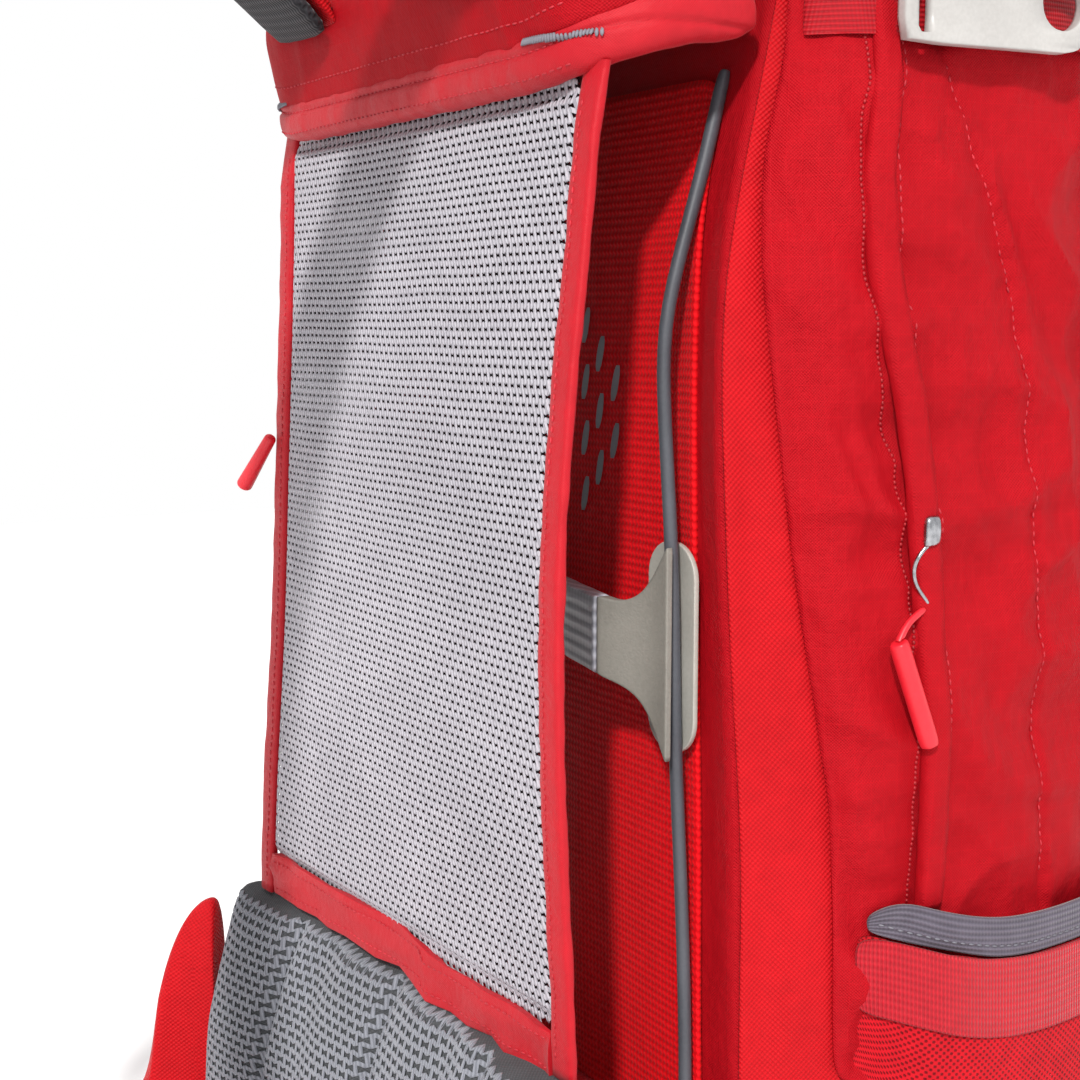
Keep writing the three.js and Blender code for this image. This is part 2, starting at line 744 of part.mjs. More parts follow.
// Plan of the yoke, k from 0 at its middle to 1 at its ends, some distance in front of the back wall.
function yokePlan(k, reach, grow = 0) {
  const half = yokeHalf + grow;
  const flat = half - yokeCorner;
  const arc = (Math.PI * yokeCorner) / 2;
  const side = reach - yokeCorner - yokeStop;
  const d = k * (flat + arc + side);
  const front = backFace - reach - grow;
  if (d < flat) return new THREE.Vector2(d, front);
  if (d < flat + arc) {
    const a = (d - flat) / yokeCorner;
    return new THREE.Vector2(flat + yokeCorner * Math.sin(a), front + yokeCorner * (1 - Math.cos(a)));
  }
  return new THREE.Vector2(half, front + yokeCorner + d - flat - arc);
}

const yokeTop = bodyHeight - yokeDrop;
const hemLow = (k) => yokeTop - yokeHeight + yokeRise * smoothstep(k, 0.5, 1);
const wallShare = 0.55; // share of the sheet that is the front wall

function yokeShell(grow = 0) {
  const place = (u, v, side) => {
    const k = Math.abs(2 * u - 1);
    const sign = u < 0.5 ? -1 : 1;
    const rise = clamp(v / wallShare, 0, 1);
    const low = hemLow(k) + hemHeight + gap - grow;
    const out = side ? grow : -yokeCloth - grow;
    const wall = yokePlan(k, yokeReach + yokeLean * rise, out);
    let point = vec(wall.x, wall.y, lerp(low, yokeTop, rise));
    if (v > wallShare) {
      const w = (v - wallShare) / (1 - wallShare);
      const rear = vec(k * (halfBack - yokeInset), backFace + yokeTuck, yokeTop + yokeSeam + out);
      point.z += out * smoothstep(w, 0, 0.4);
      point.lerp(rear, w);
      point.z += yokeCrown * Math.sin(Math.PI * w) * (1 - k ** 4);
    }
    point.x *= sign;
    return point;
  };
  return sheet(place, 16, 5);
}

function yokeHem() {
  const points = [];
  for (let i = -9; i <= 9; i++) {
    const k = Math.abs(i) / 9;
    const p = yokePlan(k, yokeReach, hemSet - hemThick / 2);
    points.push(vec(Math.sign(i) * p.x, p.y, hemLow(k) + hemHeight / 2));
  }
  const curve = new THREE.CatmullRomCurve3(points);
  return strapAlong(curve, 18, vec(0, 0, 1), hemHeight, hemThick, 8, 0.7);
}

// Mesh back

// Height up the mesh, and how far each edge stands forward of the hem as a share of the belly.
const meshShape = [
  { height: 0, left: 0.62, right: 1.15 },
  { height: 0.17, left: 0.86, right: 0.9 },
  { height: 0.33, left: 1, right: 0.62 },
  { height: 0.49, left: 1, right: 0.46 },
  { height: 0.64, left: 0.8, right: 0.3 },
  { height: 0.74, left: 0.55, right: 0.2 },
  { height: 0.88, left: 0.22, right: 0.08 },
  { height: 1, left: 0, right: 0 },
];
const meshHalf = meshWidth / 2;
const leftForward = columnOf(meshShape, "height", "left");
const rightForward = columnOf(meshShape, "height", "right");
const meshLow = loinTop + ribbonHeight + 2 * gap;
const meshHigh = yokeTop - yokeHeight - gap;

function meshFace(x, z) {
  const t = clamp((z - meshLow) / (meshHigh - meshLow), 0, 1);
  const share = lerp(rightForward(t), leftForward(t), clamp(0.5 + x / meshWidth, 0, 1));
  return backFace - yokeReach + hemThick / 2 + hemSet - meshBelly * share;
}

// A strip of the mesh back between two places across it.
function meshStrip(from, to, thickness, low, high, rows, columns = 1) {
  const place = (u, v, side) => {
    const z = lerp(low, high, v);
    const x = lerp(from, to, u);
    return vec(x, meshFace(x, z) + (0.5 - side) * thickness, z);
  };
  return sheet(place, columns, rows);
}

// Frame wires, spreader and clips

// Places along the right wire: across as a share of half the back, height as a share of the bag's,
// and how far it stands before the back wall as a share of the spreader's bow.
const wireRoute = [
  { across: 0.86, height: 0.892, stand: 0.2 },
  { across: 0.855, height: 0.83, stand: 0.42 },
  { across: 0.845, height: 0.775, stand: 0.9 },
  { across: 0.84, height: 0.735, stand: 1.22 },
  { across: 0.84, height: 0.69, stand: 1.12 },
  { across: 0.84, height: 0.6, stand: 0.88 },
  { across: 0.84, height: 0.485, stand: 0.75 },
  { across: 0.84, height: 0.385, stand: 0.55 },
  { across: 0.84, height: 0.28, stand: 0.46 },
];

function wirePoint({ across, height, stand }) {
  const x = across * halfBack;
  const z = height * bodyHeight;
  return vec(x, backFace + middleShare(height) * backWidth - stand * barBow - gap, z);
}

const wireCurve = new THREE.CatmullRomCurve3([
  ...wireRoute.map(wirePoint),
  vec(wirePoint(wireRoute.at(-1)).x, wirePoint(wireRoute.at(-1)).y, shelfHeight + gap),
]);

function frameWire(grow = 0) {
  const size = wireDiameter + 2 * grow;
  return cut(strapAlong(wireCurve, 13, vec(1, 0, 0), size, size, 8, 1), clearBody, clearPanel);
}

const barMiddle = backFace - barStand;

function barFace(x) {
  return barMiddle - barBow * (Math.min(Math.abs(x), barHalf) / barHalf) ** 2;
}

function spreaderBar() {
  const place = (u, v, side) => {
    const x = lerp(-barHalf, barHalf, u);
    const z = barLevel + (v - 0.5) * barHeight;
    return vec(x, barFace(x) + (0.5 - side) * barThick, z);
  };
  return sheet(place, 10, 1);
}

const wireAt = (z) => backFace + middleShare(z / bodyHeight) * backWidth - 0.84 * barBow - gap;

// Wing in front of the wire: as tall as the bar at its root and as the clip at its tip.
function wingClip() {
  const tip = wireCurve.getPoint(0.5).x + wireDiameter;
  const place = (u, v, side) => {
    const x = lerp(barHalf + gap, tip, u);
    const z = barLevel - clipDrop * u + (v - 0.5) * lerp(barHeight, clipHeight, smoothstep(u, 0, 0.9));
    const rest = wireAt(z) - wireDiameter / 2 - gap - clipThick / 2 - wingStand;
    const y = lerp(barFace(barHalf), rest, smoothstep(u, 0, 0.75));
    return vec(x, y + (0.5 - side) * lerp(barThick * 0.7, clipThick, Math.min(1, u * 3)), z);
  };
  return cut(sheet(place, 4, 4), clearWire);
}

function backClip() {
  const middle = wireCurve.getPoint(0.5).x;
  const place = (u, v, side) => {
    const x = lerp(middle - clipReach * 0.75, middle + clipReach * 0.25, u);
    const z = barLevel - clipDrop + (v - 0.5) * clipHeight;
    return vec(x, wireAt(z) + wireDiameter / 2 + clipThick + (0.5 - side) * clipThick, z);
  };
  return cut(sheet(place, 4, 4), clearWire, clearPanel);
}

// Loin pad

function loinFront(x, z) {
  const t = z / loinTop;
  const wrap = loinWrap * (Math.abs(x) / (loinWidth / 2)) ** 2;
  const crown = loinBulge * (smoothstep(t, -0.35, 0.35) - smoothstep(t, 0.55, 1.12));
  const rib = ribDepth * Math.exp(-(((Math.abs(x) - ribSpacing) / 5) ** 2)) * smoothstep(t, 0, 0.2);
  return meshFace(0, meshLow) + loinSet - crown - wrap + rib;
}

function loinPad(grow = 0) {
  const place = (u, v, side) => {
    const x = lerp(-loinWidth / 2 - grow, loinWidth / 2 + grow, u);
    const edge = 1 - Math.abs(2 * u - 1) ** 8;
    const z = lerp(grow ? -grow : 0, loinTop + grow, v);
    const front = loinFront(x, z);
    const rear = backFace - shelfDepth - gap - loinWrap * (Math.abs(x) / (loinWidth / 2)) ** 2;
    const middle = (front + rear) / 2;
    const half = Math.max(padEdge, ((rear - front) / 2) * (0.35 + 0.65 * edge)) + grow;
    return vec(x, middle + (side ? -half : half), z);
  };
  return sheet(place, 16, 6);
}

// Firm block behind the loin pad, its top sloping down towards the pad.
function loinShelf() {
  const half = backWidth / 2 - shelfInset;
  const rear = backFace + shelfTuck;
  const shape = new THREE.Shape();
  shape.moveTo(rear, 0);
  shape.lineTo(rear, shelfHeight);
  shape.lineTo(backFace - shelfDepth * 0.55, shelfHeight);
  shape.lineTo(backFace - shelfDepth, shelfHeight - shelfSlope);
  shape.lineTo(backFace - shelfDepth, 0);
  const block = new THREE.ExtrudeGeometry(shape, { depth: 2 * half, bevelEnabled: false });
  block.translate(0, 0, -half);
  block.applyMatrix4(new THREE.Matrix4().makeBasis(vec(0, 1, 0), vec(0, 0, 1), vec(1, 0, 0)));
  return cut(manifoldOf(block), clearBase, clearBody, clearPanel);
}

// Hip belt

// Stations of the right fin: how far forward, how far out, and its lower and upper edges,
// as shares of the belt's reach and of the heights at its root.
const finStations = [
  { forward: 0.0, out: -0.055, low: 0.1, high: 1.0 },
  { forward: 0.045, out: 0.0, low: 0.06, high: 0.985 },
  { forward: 0.11, out: 0.05, low: 0.03, high: 0.88 },
  { forward: 0.155, out: 0.075, low: 0.02, high: 0.7 },
  { forward: 0.19, out: 0.095, low: 0.02, high: 0.43 },
  { forward: 0.27, out: 0.12, low: 0.02, high: 0.42 },
  { forward: 0.45, out: 0.15, low: 0.02, high: 0.41 },
  { forward: 0.68, out: 0.1, low: 0.03, high: 0.4 },
  { forward: 0.86, out: -0.02, low: 0.05, high: 0.39 },
  { forward: 1.0, out: -0.19, low: 0.08, high: 0.36 },
];
const finRoot = () => vec(loinWidth / 2, backFace - shelfDepth - loinWrap - finSet, 0);
const finPlace = ({ forward, out }) =>
  vec(finRoot().x + out * beltReach + beltThick, finRoot().y - forward * beltReach, 0);

function hipFin(grow = 0) {
  const curve = new THREE.CatmullRomCurve3(finStations.map(finPlace));
  const stations = finStations.map((row, i) => {
    const t = i / (finStations.length - 1);
    const ahead = curve.getTangent(t);
    const low = row.low * loinTop;
    const high = row.high * (loinTop - finDrop);
    const thick = vec(-ahead.y, ahead.x, 0).normalize();
    return {
      at: finPlace(row).setZ((low + high) / 2),
      wide: vec(0, 0, 1),
      thick,
      width: high - low + 2 * grow,
      thickness: finThick + 2 * grow,
    };
  });
  return cut(sweep(stations, 10, 0.55), clearPad);
}

function beltWeb() {
  const tip = finPlace(finStations.at(-1));
  const curve = new THREE.CatmullRomCurve3([
    vec(tip.x + beltTuck, tip.y + beltTuck, beltLevel),
    vec(tip.x * 0.75, tip.y - beltFront * 0.6, beltLevel),
    vec(beltBuckleWidth / 2 + gap, tip.y - beltFront, beltLevel),
  ]);
  const strap = strapAlong(curve, 5, vec(0, 0, 1), beltWebbing, webbing, 4, 0.3);
  return cut(strap, clearFin);
}

function beltBuckle() {
  const y = finPlace(finStations.at(-1)).y - beltFront;
  const shape = new THREE.Shape();
  const w = beltBuckleWidth / 2;
  const h = beltBuckleHeight / 2;
  const r = beltBuckleRound;
  shape.moveTo(-w + r, -h).lineTo(w - r, -h);
  shape.quadraticCurveTo(w, -h, w, -h + r).lineTo(w, h - r);
  shape.quadraticCurveTo(w, h, w - r, h).lineTo(-w + r, h);
  shape.quadraticCurveTo(-w, h, -w, h - r).lineTo(-w, -h + r);
  shape.quadraticCurveTo(-w, -h, -w + r, -h);
  const plate = new THREE.ExtrudeGeometry(shape, {
    depth: beltBuckleThick / 2,
    bevelThickness: beltBuckleThick / 4,
    bevelSize: beltBuckleEdge,
    bevelOffset: -beltBuckleEdge,
    bevelSegments: 1,
    curveSegments: 3,
  });
  plate.rotateX(Math.PI / 2).translate(0, y + beltBuckleThick / 4, beltLevel);
  return manifoldOf(plate);
}

// Shoulder straps

// Route of the right strap's middle: across as a share of half the straps' spacing,
// forward of the back wall and height as shares of the bag's depth and height.
const strapRoute = [
  { across: 1.0, forward: 0.33, height: 0.945 },
  { across: 1.0, forward: 0.42, height: 0.975 },
  { across: 1.03, forward: 0.55, height: 1.012 },
  { across: 1.08, forward: 0.8, height: 1.03 },
  { across: 1.18, forward: 1.05, height: 0.985 },
  { across: 1.32, forward: 1.25, height: 0.86 },
  { across: 1.5, forward: 1.33, height: 0.7 },
  { across: 1.68, forward: 1.33, height: 0.55 },
  { across: 1.8, forward: 1.3, height: 0.43 },
];
const strapCurve = new THREE.CatmullRomCurve3(
  strapRoute.map(({ across, forward, height }) =>
    vec((across * strapApart) / 2, backFace - forward * bodyDepth, height * bodyHeight),
  ),
);

function strapLayer(side) {
  const width = (t) => strapWidth * (0.82 + 0.18 * Math.sin(Math.PI * clamp(t * 1.3, 0, 1)) - 0.2 * t ** 3);
  const lift = (side * (strapThick + gap)) / 2;
  const layer = strapAlong(strapCurve, 12, vec(1, 0, 0.1), width, strapThick, 8, 0.45, lift);
  return cut(layer, clearYoke);
}

// Webbing from the strap's end back to the side of the loin pad.
const webRoute = [
  { across: 1.94, forward: 1.17, height: 0.31 },
  { across: 2.0, forward: 0.95, height: 0.21 },
  { across: 2.03, forward: 0.7, height: 0.165 },
  { across: 2.03, forward: 0.45, height: 0.15 },
  { across: 2.0, forward: 0.33, height: 0.15 },
];

function webPoint({ across, forward, height }) {
  return vec((across * strapApart) / 2, backFace - forward * bodyDepth, height * bodyHeight);
}

const lockEnd = () => strapCurve.getPoint(1).addScaledVector(strapCurve.getTangent(1), lockLength + 3 * gap);

function strapWebbing() {
  const curve = new THREE.CatmullRomCurve3([lockEnd(), ...webRoute.map(webPoint)]);
  const strap = strapAlong(curve, 14, vec(1, 0, 0), strapTape, webbing, 4, 0.3);
  return cut(strap, clearPad.add(clearFin));
}

function ladderLock() {
  const half = strapTape / 2 + lockRim;
  const shape = new THREE.Shape();
  shape.moveTo(-half, 0).lineTo(half, 0).lineTo(half, lockLength).lineTo(-half, lockLength);
  for (const start of [lockRim, lockLength * 0.42, lockLength * 0.74]) {
    const slot = new THREE.Path();
    slot.moveTo(-half + lockRim, start).lineTo(-half + lockRim, start + lockSlot);
    slot.lineTo(half - lockRim, start + lockSlot).lineTo(half - lockRim, start);
    shape.holes.push(slot);
  }
  const plate = new THREE.ExtrudeGeometry(shape, { depth: lockThick, bevelEnabled: false });
  const ahead = strapCurve.getTangent(1);
  const thick = vec(0, 0, 0).crossVectors(ahead, vec(1, 0, 0.1)).normalize();
  const wide = vec(0, 0, 0).crossVectors(thick, ahead).normalize();
  const start = strapCurve.getPoint(1).addScaledVector(ahead, gap).addScaledVector(thick, -lockThick / 2);
  plate.applyMatrix4(new THREE.Matrix4().makeBasis(wide.negate(), ahead, thick).setPosition(start));
  return manifoldOf(plate);
}

// Lid

// Height as a share of the lid's rise, and size in plan as a share of the rim's.
const lidShape = [
  { rise: 0, size: 1 },
  { rise: 0.3, size: 1.0 },
  { rise: 0.55, size: 0.97 },
  { rise: 0.76, size: 0.88 },
  { rise: 0.91, size: 0.7 },
  { rise: 1, size: 0.42 },
];

function lidLoop({ rise, size }, inset) {
  const floor = bodyHeight - lidSkirt;
  return bodyLoop(bodyHeight, lidOverhang + neckInset - inset, (p) => {
    const front = smoothstep(p.y, 0.34 * bodyDepth, 0.5 * bodyDepth);
    const low = floor - lidDip * front * (1 - rise);
    const top = bodyHeight + lidRise - inset * size * 0.9;
    return vec(p.x * size, p.y * size, lerp(low, top, rise));
  });
}

function lid() {
  const outer = lidShape.map((row) => lidLoop(row, 0));
  const inner = lidShape.map((row) => lidLoop(row, lidCloth));
  return loft([...outer.reverse(), ...inner]);
}

const frontPoint = (x, z, out) => {
  let s = 1;
  while (bodyPoint(s, z, 0).x < x && s > sSide) s -= 0.004;
  return bodyPoint(s, z, out).setX(x);
};

// Strap from the lid's front rim down the bag's front.
function lidStrap(grow = 0) {
  const rim = bodyHeight - lidSkirt - lidDip;
  const place = (u, v, side) => {
    const x = lerp(-lidTape / 2 - grow, lidTape / 2 + grow, u);
    const z = lerp(rim - lidStrapLength, rim + lidStrapTuck, v);
    const point = frontPoint(Math.abs(x), z, gap + (side ? webbing + grow : -grow) + neckShrink(z));
    return point.setX(x);
  };
  return sheet(place, 1, 8);
}

function lidBuckle() {
  const z = bodyHeight - lidSkirt - lidDip - lidBuckleDrop;
  const y = frontPoint(0, z, gap * 2 + webbing + neckShrink(z)).y + lidBuckleThick / 2;
  const block = new THREE.BoxGeometry(lidTape + 2 * lidBuckleRim, lidBuckleThick, lidBuckleHeight);
  return cut(manifoldOf(block.translate(0, y, z)), lidStrap(gap));
}

function haulLoop() {
  const y = backFace - yokeReach * 0.75;
  const at = (x, z) => vec(x, y, yokeTop + yokeCrown * 0.6 + z);
  const curve = new THREE.CatmullRomCurve3([
    at(-loopHalf, -loopSeat),
    at(-loopHalf * 0.94, loopRise * 0.3),
    at(-loopHalf * 0.6, loopRise),
    at(0, loopRise * 1.23),
    at(loopHalf * 0.6, loopRise),
    at(loopHalf * 0.94, loopRise * 0.3),
    at(loopHalf, -loopSeat),
  ]);
  return cut(strapAlong(curve, 10, vec(0, 1, 0), loopTape, loopThick, 4, 0.3), clearYoke);
}

// The bag's pieces, from the cloth outwards

const clearGusset = sideGusset(gap);
const clearPanel = backPanel(gap);
const clearBase = basePanel(3 * gap);
addMesh("main_bag", mainBag(), materials.ripstop);
addMesh("base_panel", basePanel(), materials.pack);
addMesh("back_panel", backPanel(), materials.pack);
addPair("side_gusset", sideGusset(), materials.pack);
addPair("side_pocket", cut(sidePocket(), clearGusset, clearBody), materials.ripstop);
addPair("zip_flap", cut(zipFlap(), clearPocket), materials.ripstop);
addPair("zip_slider", zipSlider(), materials.steel);
addPair("pull_cord", pullCordSolid(), materials.rubber);
addPair("pull_tube", pullTubeSolid(), materials.rubber);

const clearTape = bottleBand(edgeTape - gap, edgeTape + bandTape + gap, 0, thinCloth + webbing + 2 * gap, 1);
const behindBottle = [clearPocket, clearGusset, clearBody];
addPair("bottle_pocket", cut(bottlePocket(), ...behindBottle), materials.pack);
addPair("pocket_binding", cut(bottleBand(0, edgeTape, -edgeIn, edgeOut, 1), ...behindBottle), materials.tape);
const ribbed = bottleBand(edgeTape + gap, edgeTape + bandTape, thinCloth - cutIn, thinCloth + gap + webbing, 1);
addPair("pocket_tape", cut(ribbed, bottlePocket(gap), ...behindBottle), materials.webbing);
addPair("lower_strap", cut(lowerStrap(), bottlePocket(gap)), materials.webbing);
addPair("upper_strap", cut(upperStrap(), clearGusset, clearPocket, clearBody, clearFlap), materials.webbing);
addPair("strap_buckle", strapBuckle(), materials.buckle);

const clearYoke = yokeShell(gap);
addMesh("top_yoke", cut(yokeShell(), clearBody, clearGusset), materials.ripstop);
addMesh("yoke_hem", cut(yokeHem(), clearYoke, clearBody, clearGusset), materials.binding);

addMesh("mesh_panel", meshStrip(-meshHalf, meshHalf, meshThick, meshLow, meshHigh, 12, 2), materials.mesh);
for (const [name, side] of [
  ["mesh_binding_left", 1],
  ["mesh_binding_right", -1],
]) {
  const edges = [side * (meshHalf + gap), side * (meshHalf + gap + bindingWidth)];
  addMesh(name, meshStrip(...edges, bindingThick, loinTop + gap, meshHigh, 10), materials.binding);
}
const ribbon = meshStrip(-meshHalf, meshHalf, ribbonThick, loinTop + gap, loinTop + gap + ribbonHeight, 1);
addMesh("mesh_ribbon", ribbon, materials.binding);

const clearWire = frameWire(gap);
addPair("frame_wire", frameWire(), materials.wire);
addMesh("spreader_bar", spreaderBar(), materials.bar);
addPair("wing_clip", wingClip(), materials.bar);
addPair("back_clip", backClip(), materials.clip);

const clearPad = loinPad(gap);
addMesh("loin_pad", loinPad(), materials.pad);
addMesh("loin_shelf", loinShelf(), materials.pack);
const clearFin = hipFin(gap);
addPair("hip_fin", hipFin(), materials.pad);
addPair("belt_webbing", beltWeb(), materials.webbing);
addMesh("belt_buckle", beltBuckle(), materials.buckle);

addPair("shoulder_strap", strapLayer(1), materials.pack);
addPair("strap_lining", strapLayer(-1), materials.lining);
addPair("ladder_lock", ladderLock(), materials.buckle);
addPair("strap_webbing", strapWebbing(), materials.webbing);

addMesh("lid", lid(), materials.ripstop);
addMesh("lid_strap", lidStrap(), materials.webbing);
addMesh("lid_buckle", lidBuckle(), materials.buckle);
addMesh("haul_loop", haulLoop(), materials.webbing);

export default pack;
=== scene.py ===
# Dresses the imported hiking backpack: cloth, nets, straps, wires, stitches, light and camera.
import math
import bmesh
import bpy
from mathutils import Matrix, Vector, noise
from mathutils.bvhtree import BVHTree
from mathutils.kdtree import KDTree


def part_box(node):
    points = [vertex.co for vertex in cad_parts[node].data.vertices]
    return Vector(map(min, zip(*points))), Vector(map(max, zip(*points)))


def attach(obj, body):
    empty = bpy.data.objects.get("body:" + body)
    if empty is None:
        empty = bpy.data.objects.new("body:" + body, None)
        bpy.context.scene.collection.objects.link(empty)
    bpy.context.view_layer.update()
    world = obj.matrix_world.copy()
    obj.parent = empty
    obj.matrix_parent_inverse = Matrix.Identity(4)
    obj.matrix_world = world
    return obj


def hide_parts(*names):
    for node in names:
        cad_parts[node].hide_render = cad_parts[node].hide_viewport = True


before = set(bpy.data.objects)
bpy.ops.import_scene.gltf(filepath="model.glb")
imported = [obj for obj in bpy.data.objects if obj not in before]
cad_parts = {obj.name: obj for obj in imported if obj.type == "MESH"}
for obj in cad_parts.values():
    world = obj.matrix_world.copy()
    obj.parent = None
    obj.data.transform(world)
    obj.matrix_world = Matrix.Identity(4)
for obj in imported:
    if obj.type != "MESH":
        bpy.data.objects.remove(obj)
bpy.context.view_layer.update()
mm = 0.001

# the photograph's viewpoint
camera = {"place": (0.5674, -0.4614, 0.4155), "yaw": 58.0, "down": 7.25, "lens": 56.67, "sensor": 36.0}

cameraData = bpy.data.cameras.new("camera")
cameraData.lens = camera["lens"]
cameraData.sensor_width = camera["sensor"]
cameraData.clip_start = 0.02
cameraObject = bpy.data.objects.new("camera", cameraData)
bpy.context.collection.objects.link(cameraObject)
cameraObject.location = camera["place"]
cameraObject.rotation_euler = (
    math.radians(90 - camera["down"]), 0, math.radians(camera["yaw"]))
bpy.context.scene.camera = cameraObject
bpy.context.scene.view_settings.view_transform = "Standard"

# light and floor
studio = {
    "sunAzimuth": 46, "sunHeight": 36, "sunPower": 3.3, "sunAngle": 4,
    "sky": (1.0, 1.0, 1.0), "skyPower": 1.0, "floor": (0.9, 0.9, 0.9), "floorSize": 6.0,
}


def makeStudio():
    sun = bpy.data.lights.new("sun", "SUN")
    sun.energy = studio["sunPower"]
    sun.angle = math.radians(studio["sunAngle"])
    sun.color = (1.0, 0.985, 0.96)
    sunObject = bpy.data.objects.new("sun", sun)
    bpy.context.collection.objects.link(sunObject)
    turn = math.radians(studio["sunAzimuth"])
    up = math.radians(studio["sunHeight"])
    towards = Vector((math.sin(turn) * math.cos(up), -math.cos(turn) * math.cos(up), math.sin(up)))
    sunObject.rotation_euler = towards.to_track_quat("Z", "Y").to_euler()
    world = bpy.data.worlds.new("studio")
    world.use_nodes = True
    sky = world.node_tree.nodes["Background"]
    sky.inputs["Color"].default_value = (*studio["sky"], 1)
    sky.inputs["Strength"].default_value = studio["skyPower"]
    bpy.context.scene.world = world
    bm = bmesh.new()
    bmesh.ops.create_grid(bm, x_segments=1, y_segments=1, size=studio["floorSize"] / 2)
    bmesh.ops.translate(bm, verts=bm.verts, vec=(0, 0, -0.4 * mm))
    floor = objectFrom(bm, "floor")
    floor.data.materials.append(paint("floorPaint", studio["floor"], rough=0.7))


# colours and node helpers

def linear(code, alpha=1.0):
    parts = [int(code[i:i + 2], 16) / 255 for i in (0, 2, 4)]
    return (*[c / 12.92 if c <= 0.04045 else ((c + 0.055) / 1.055) ** 2.4 for c in parts], alpha)


class Recipe:
    # a material's node tree, with short ways to add to it

    def __init__(self, name):
        self.material = bpy.data.materials.new(name)
        self.material.use_nodes = True
        self.tree = self.material.node_tree
        self.shader = self.tree.nodes["Principled BSDF"]

    def node(self, kind, **values):
        made = self.tree.nodes.new(kind)
        for key, value in values.items():
            setattr(made, key, value)
        return made

    def link(self, output, target):
        self.tree.links.new(output, target)

    def math(self, operation, a, b=None):
        made = self.node("ShaderNodeMath", operation=operation)
        for socket, value in zip(made.inputs, (a, b)):
            if value is None:
                continue
            if isinstance(value, (int, float)):
                socket.default_value = value
            else:
                self.link(value, socket)
        return made.outputs[0]

    def mix(self, factor, first, second):
        made = self.node("ShaderNodeMix", data_type="RGBA")
        for socket, value in ((made.inputs[0], factor), (made.inputs[6], first), (made.inputs[7], second)):
            if isinstance(value, (int, float, tuple)):
                socket.default_value = value
            else:
                self.link(value, socket)
        return made.outputs[2]

    def noise(self, vector, scale, detail=3.0, rough=0.55):
        made = self.node("ShaderNodeTexNoise")
        made.inputs["Scale"].default_value = scale
        made.inputs["Detail"].default_value = detail
        made.inputs["Roughness"].default_value = rough
        self.link(vector, made.inputs["Vector"])
        return made.outputs["Fac"]

    def ramp(self, value, low, high):
        made = self.node("ShaderNodeMapRange")
        made.inputs["From Min"].default_value = low
        made.inputs["From Max"].default_value = high
        self.link(value, made.inputs["Value"])
        return made.outputs["Result"]

    def bump(self, height, strength, distance, normal=None):
        made = self.node("ShaderNodeBump")
        made.inputs["Strength"].default_value = strength
        made.inputs["Distance"].default_value = distance
        self.link(height, made.inputs["Height"])
        if normal is not None:
            self.link(normal, made.inputs["Normal"])
        return made.outputs["Normal"]

    def place(self, source):
        # object coordinates in metres, or the piece's own UV map, also in metres
        coords = self.node("ShaderNodeTexCoord")
        return coords.outputs[source]

    def wave(self, value, pitch, phase=0.0):
        turned = self.math("MULTIPLY_ADD", value, 2 * math.pi / pitch)
        turned.node.inputs[2].default_value = phase
        return self.math("SINE", turned)


def paint(name, colour, rough=0.5, metal=0.0):
    recipe = Recipe(name)
    recipe.shader.inputs["Base Color"].default_value = (*colour[:3], 1)
    recipe.shader.inputs["Roughness"].default_value = rough
    recipe.shader.inputs["Metallic"].default_value = metal
    return recipe.material


# cloth finishes: pitch is the threads', in millimetres
clothColumns = ("face", "deep", "pitch", "weave", "relief", "rough", "sheen", "shine", "crumple")
clothRows = {
    "ripstop": ("b80f1c", "8a0812", 1.1, "ripstop", 0.4, 0.55, 0.0, 0.08, 0.8),
    "packCloth": ("cd0e1a", "94060e", 1.9, "plain", 0.5, 0.62, 0.03, 0.14, 0.2),
    "backCloth": ("ee101c", "b0050c", 2.2, "knit", 0.4, 0.7, 0.02, 0.1, 0.1),
    # pocketMesh's deep colour is painted shade: its holes are painted this dark
    "pocketMesh": ("c81220", "2c0206", 3.0, "net", 0.6, 0.7, 0.03, 0.12, 0.2),
    "redWebbing": ("bc1220", "76060f", 1.6, "rib", 0.5, 0.5, 0.05, 0.2, 0.1),
    "ribbedTape": ("c81c2c", "84101a", 2.3, "beads", 0.6, 0.5, 0.08, 0.25, 0.1),
    "redBinding": ("c41826", "9a0e1a", 0.8, "plain", 0.2, 0.5, 0.06, 0.22, 0.6),
    "greyElastic": ("68616e", "35303a", 2.1, "rib", 0.5, 0.6, 0.2, 0.3, 0.15),
    "greyNet": ("cdc9d1", "86838c", 2.075, "strands", 0.6, 0.55, 0.05, 0.3, 0.0),
    # netShade is painted shade: the colour of a dark sheet laid just behind the back net
    "netShade": ("3c2428", "1e0e11", 1.0, "plain", 0.2, 0.8, 0.05, 0.1, 0.0),
    "padNet": ("9699a2", "5e6068", 1.3, "strands", 0.5, 0.7, 0.15, 0.25, 0.0),
    "padCore": ("55575a", "343537", 1.6, "plain", 0.3, 0.9, 0.1, 0.1, 0.2),
    "darkLining": ("38383c", "151517", 2.2, "knit", 0.4, 0.8, 0.15, 0.2, 0.1),
    "barWebbing": ("c6c7d0", "74757f", 4.4, "rib", 0.6, 0.4, 0.1, 0.5, 0.0),
}
cloths = {name: dict(zip(clothColumns, row)) for name, row in clothRows.items()}


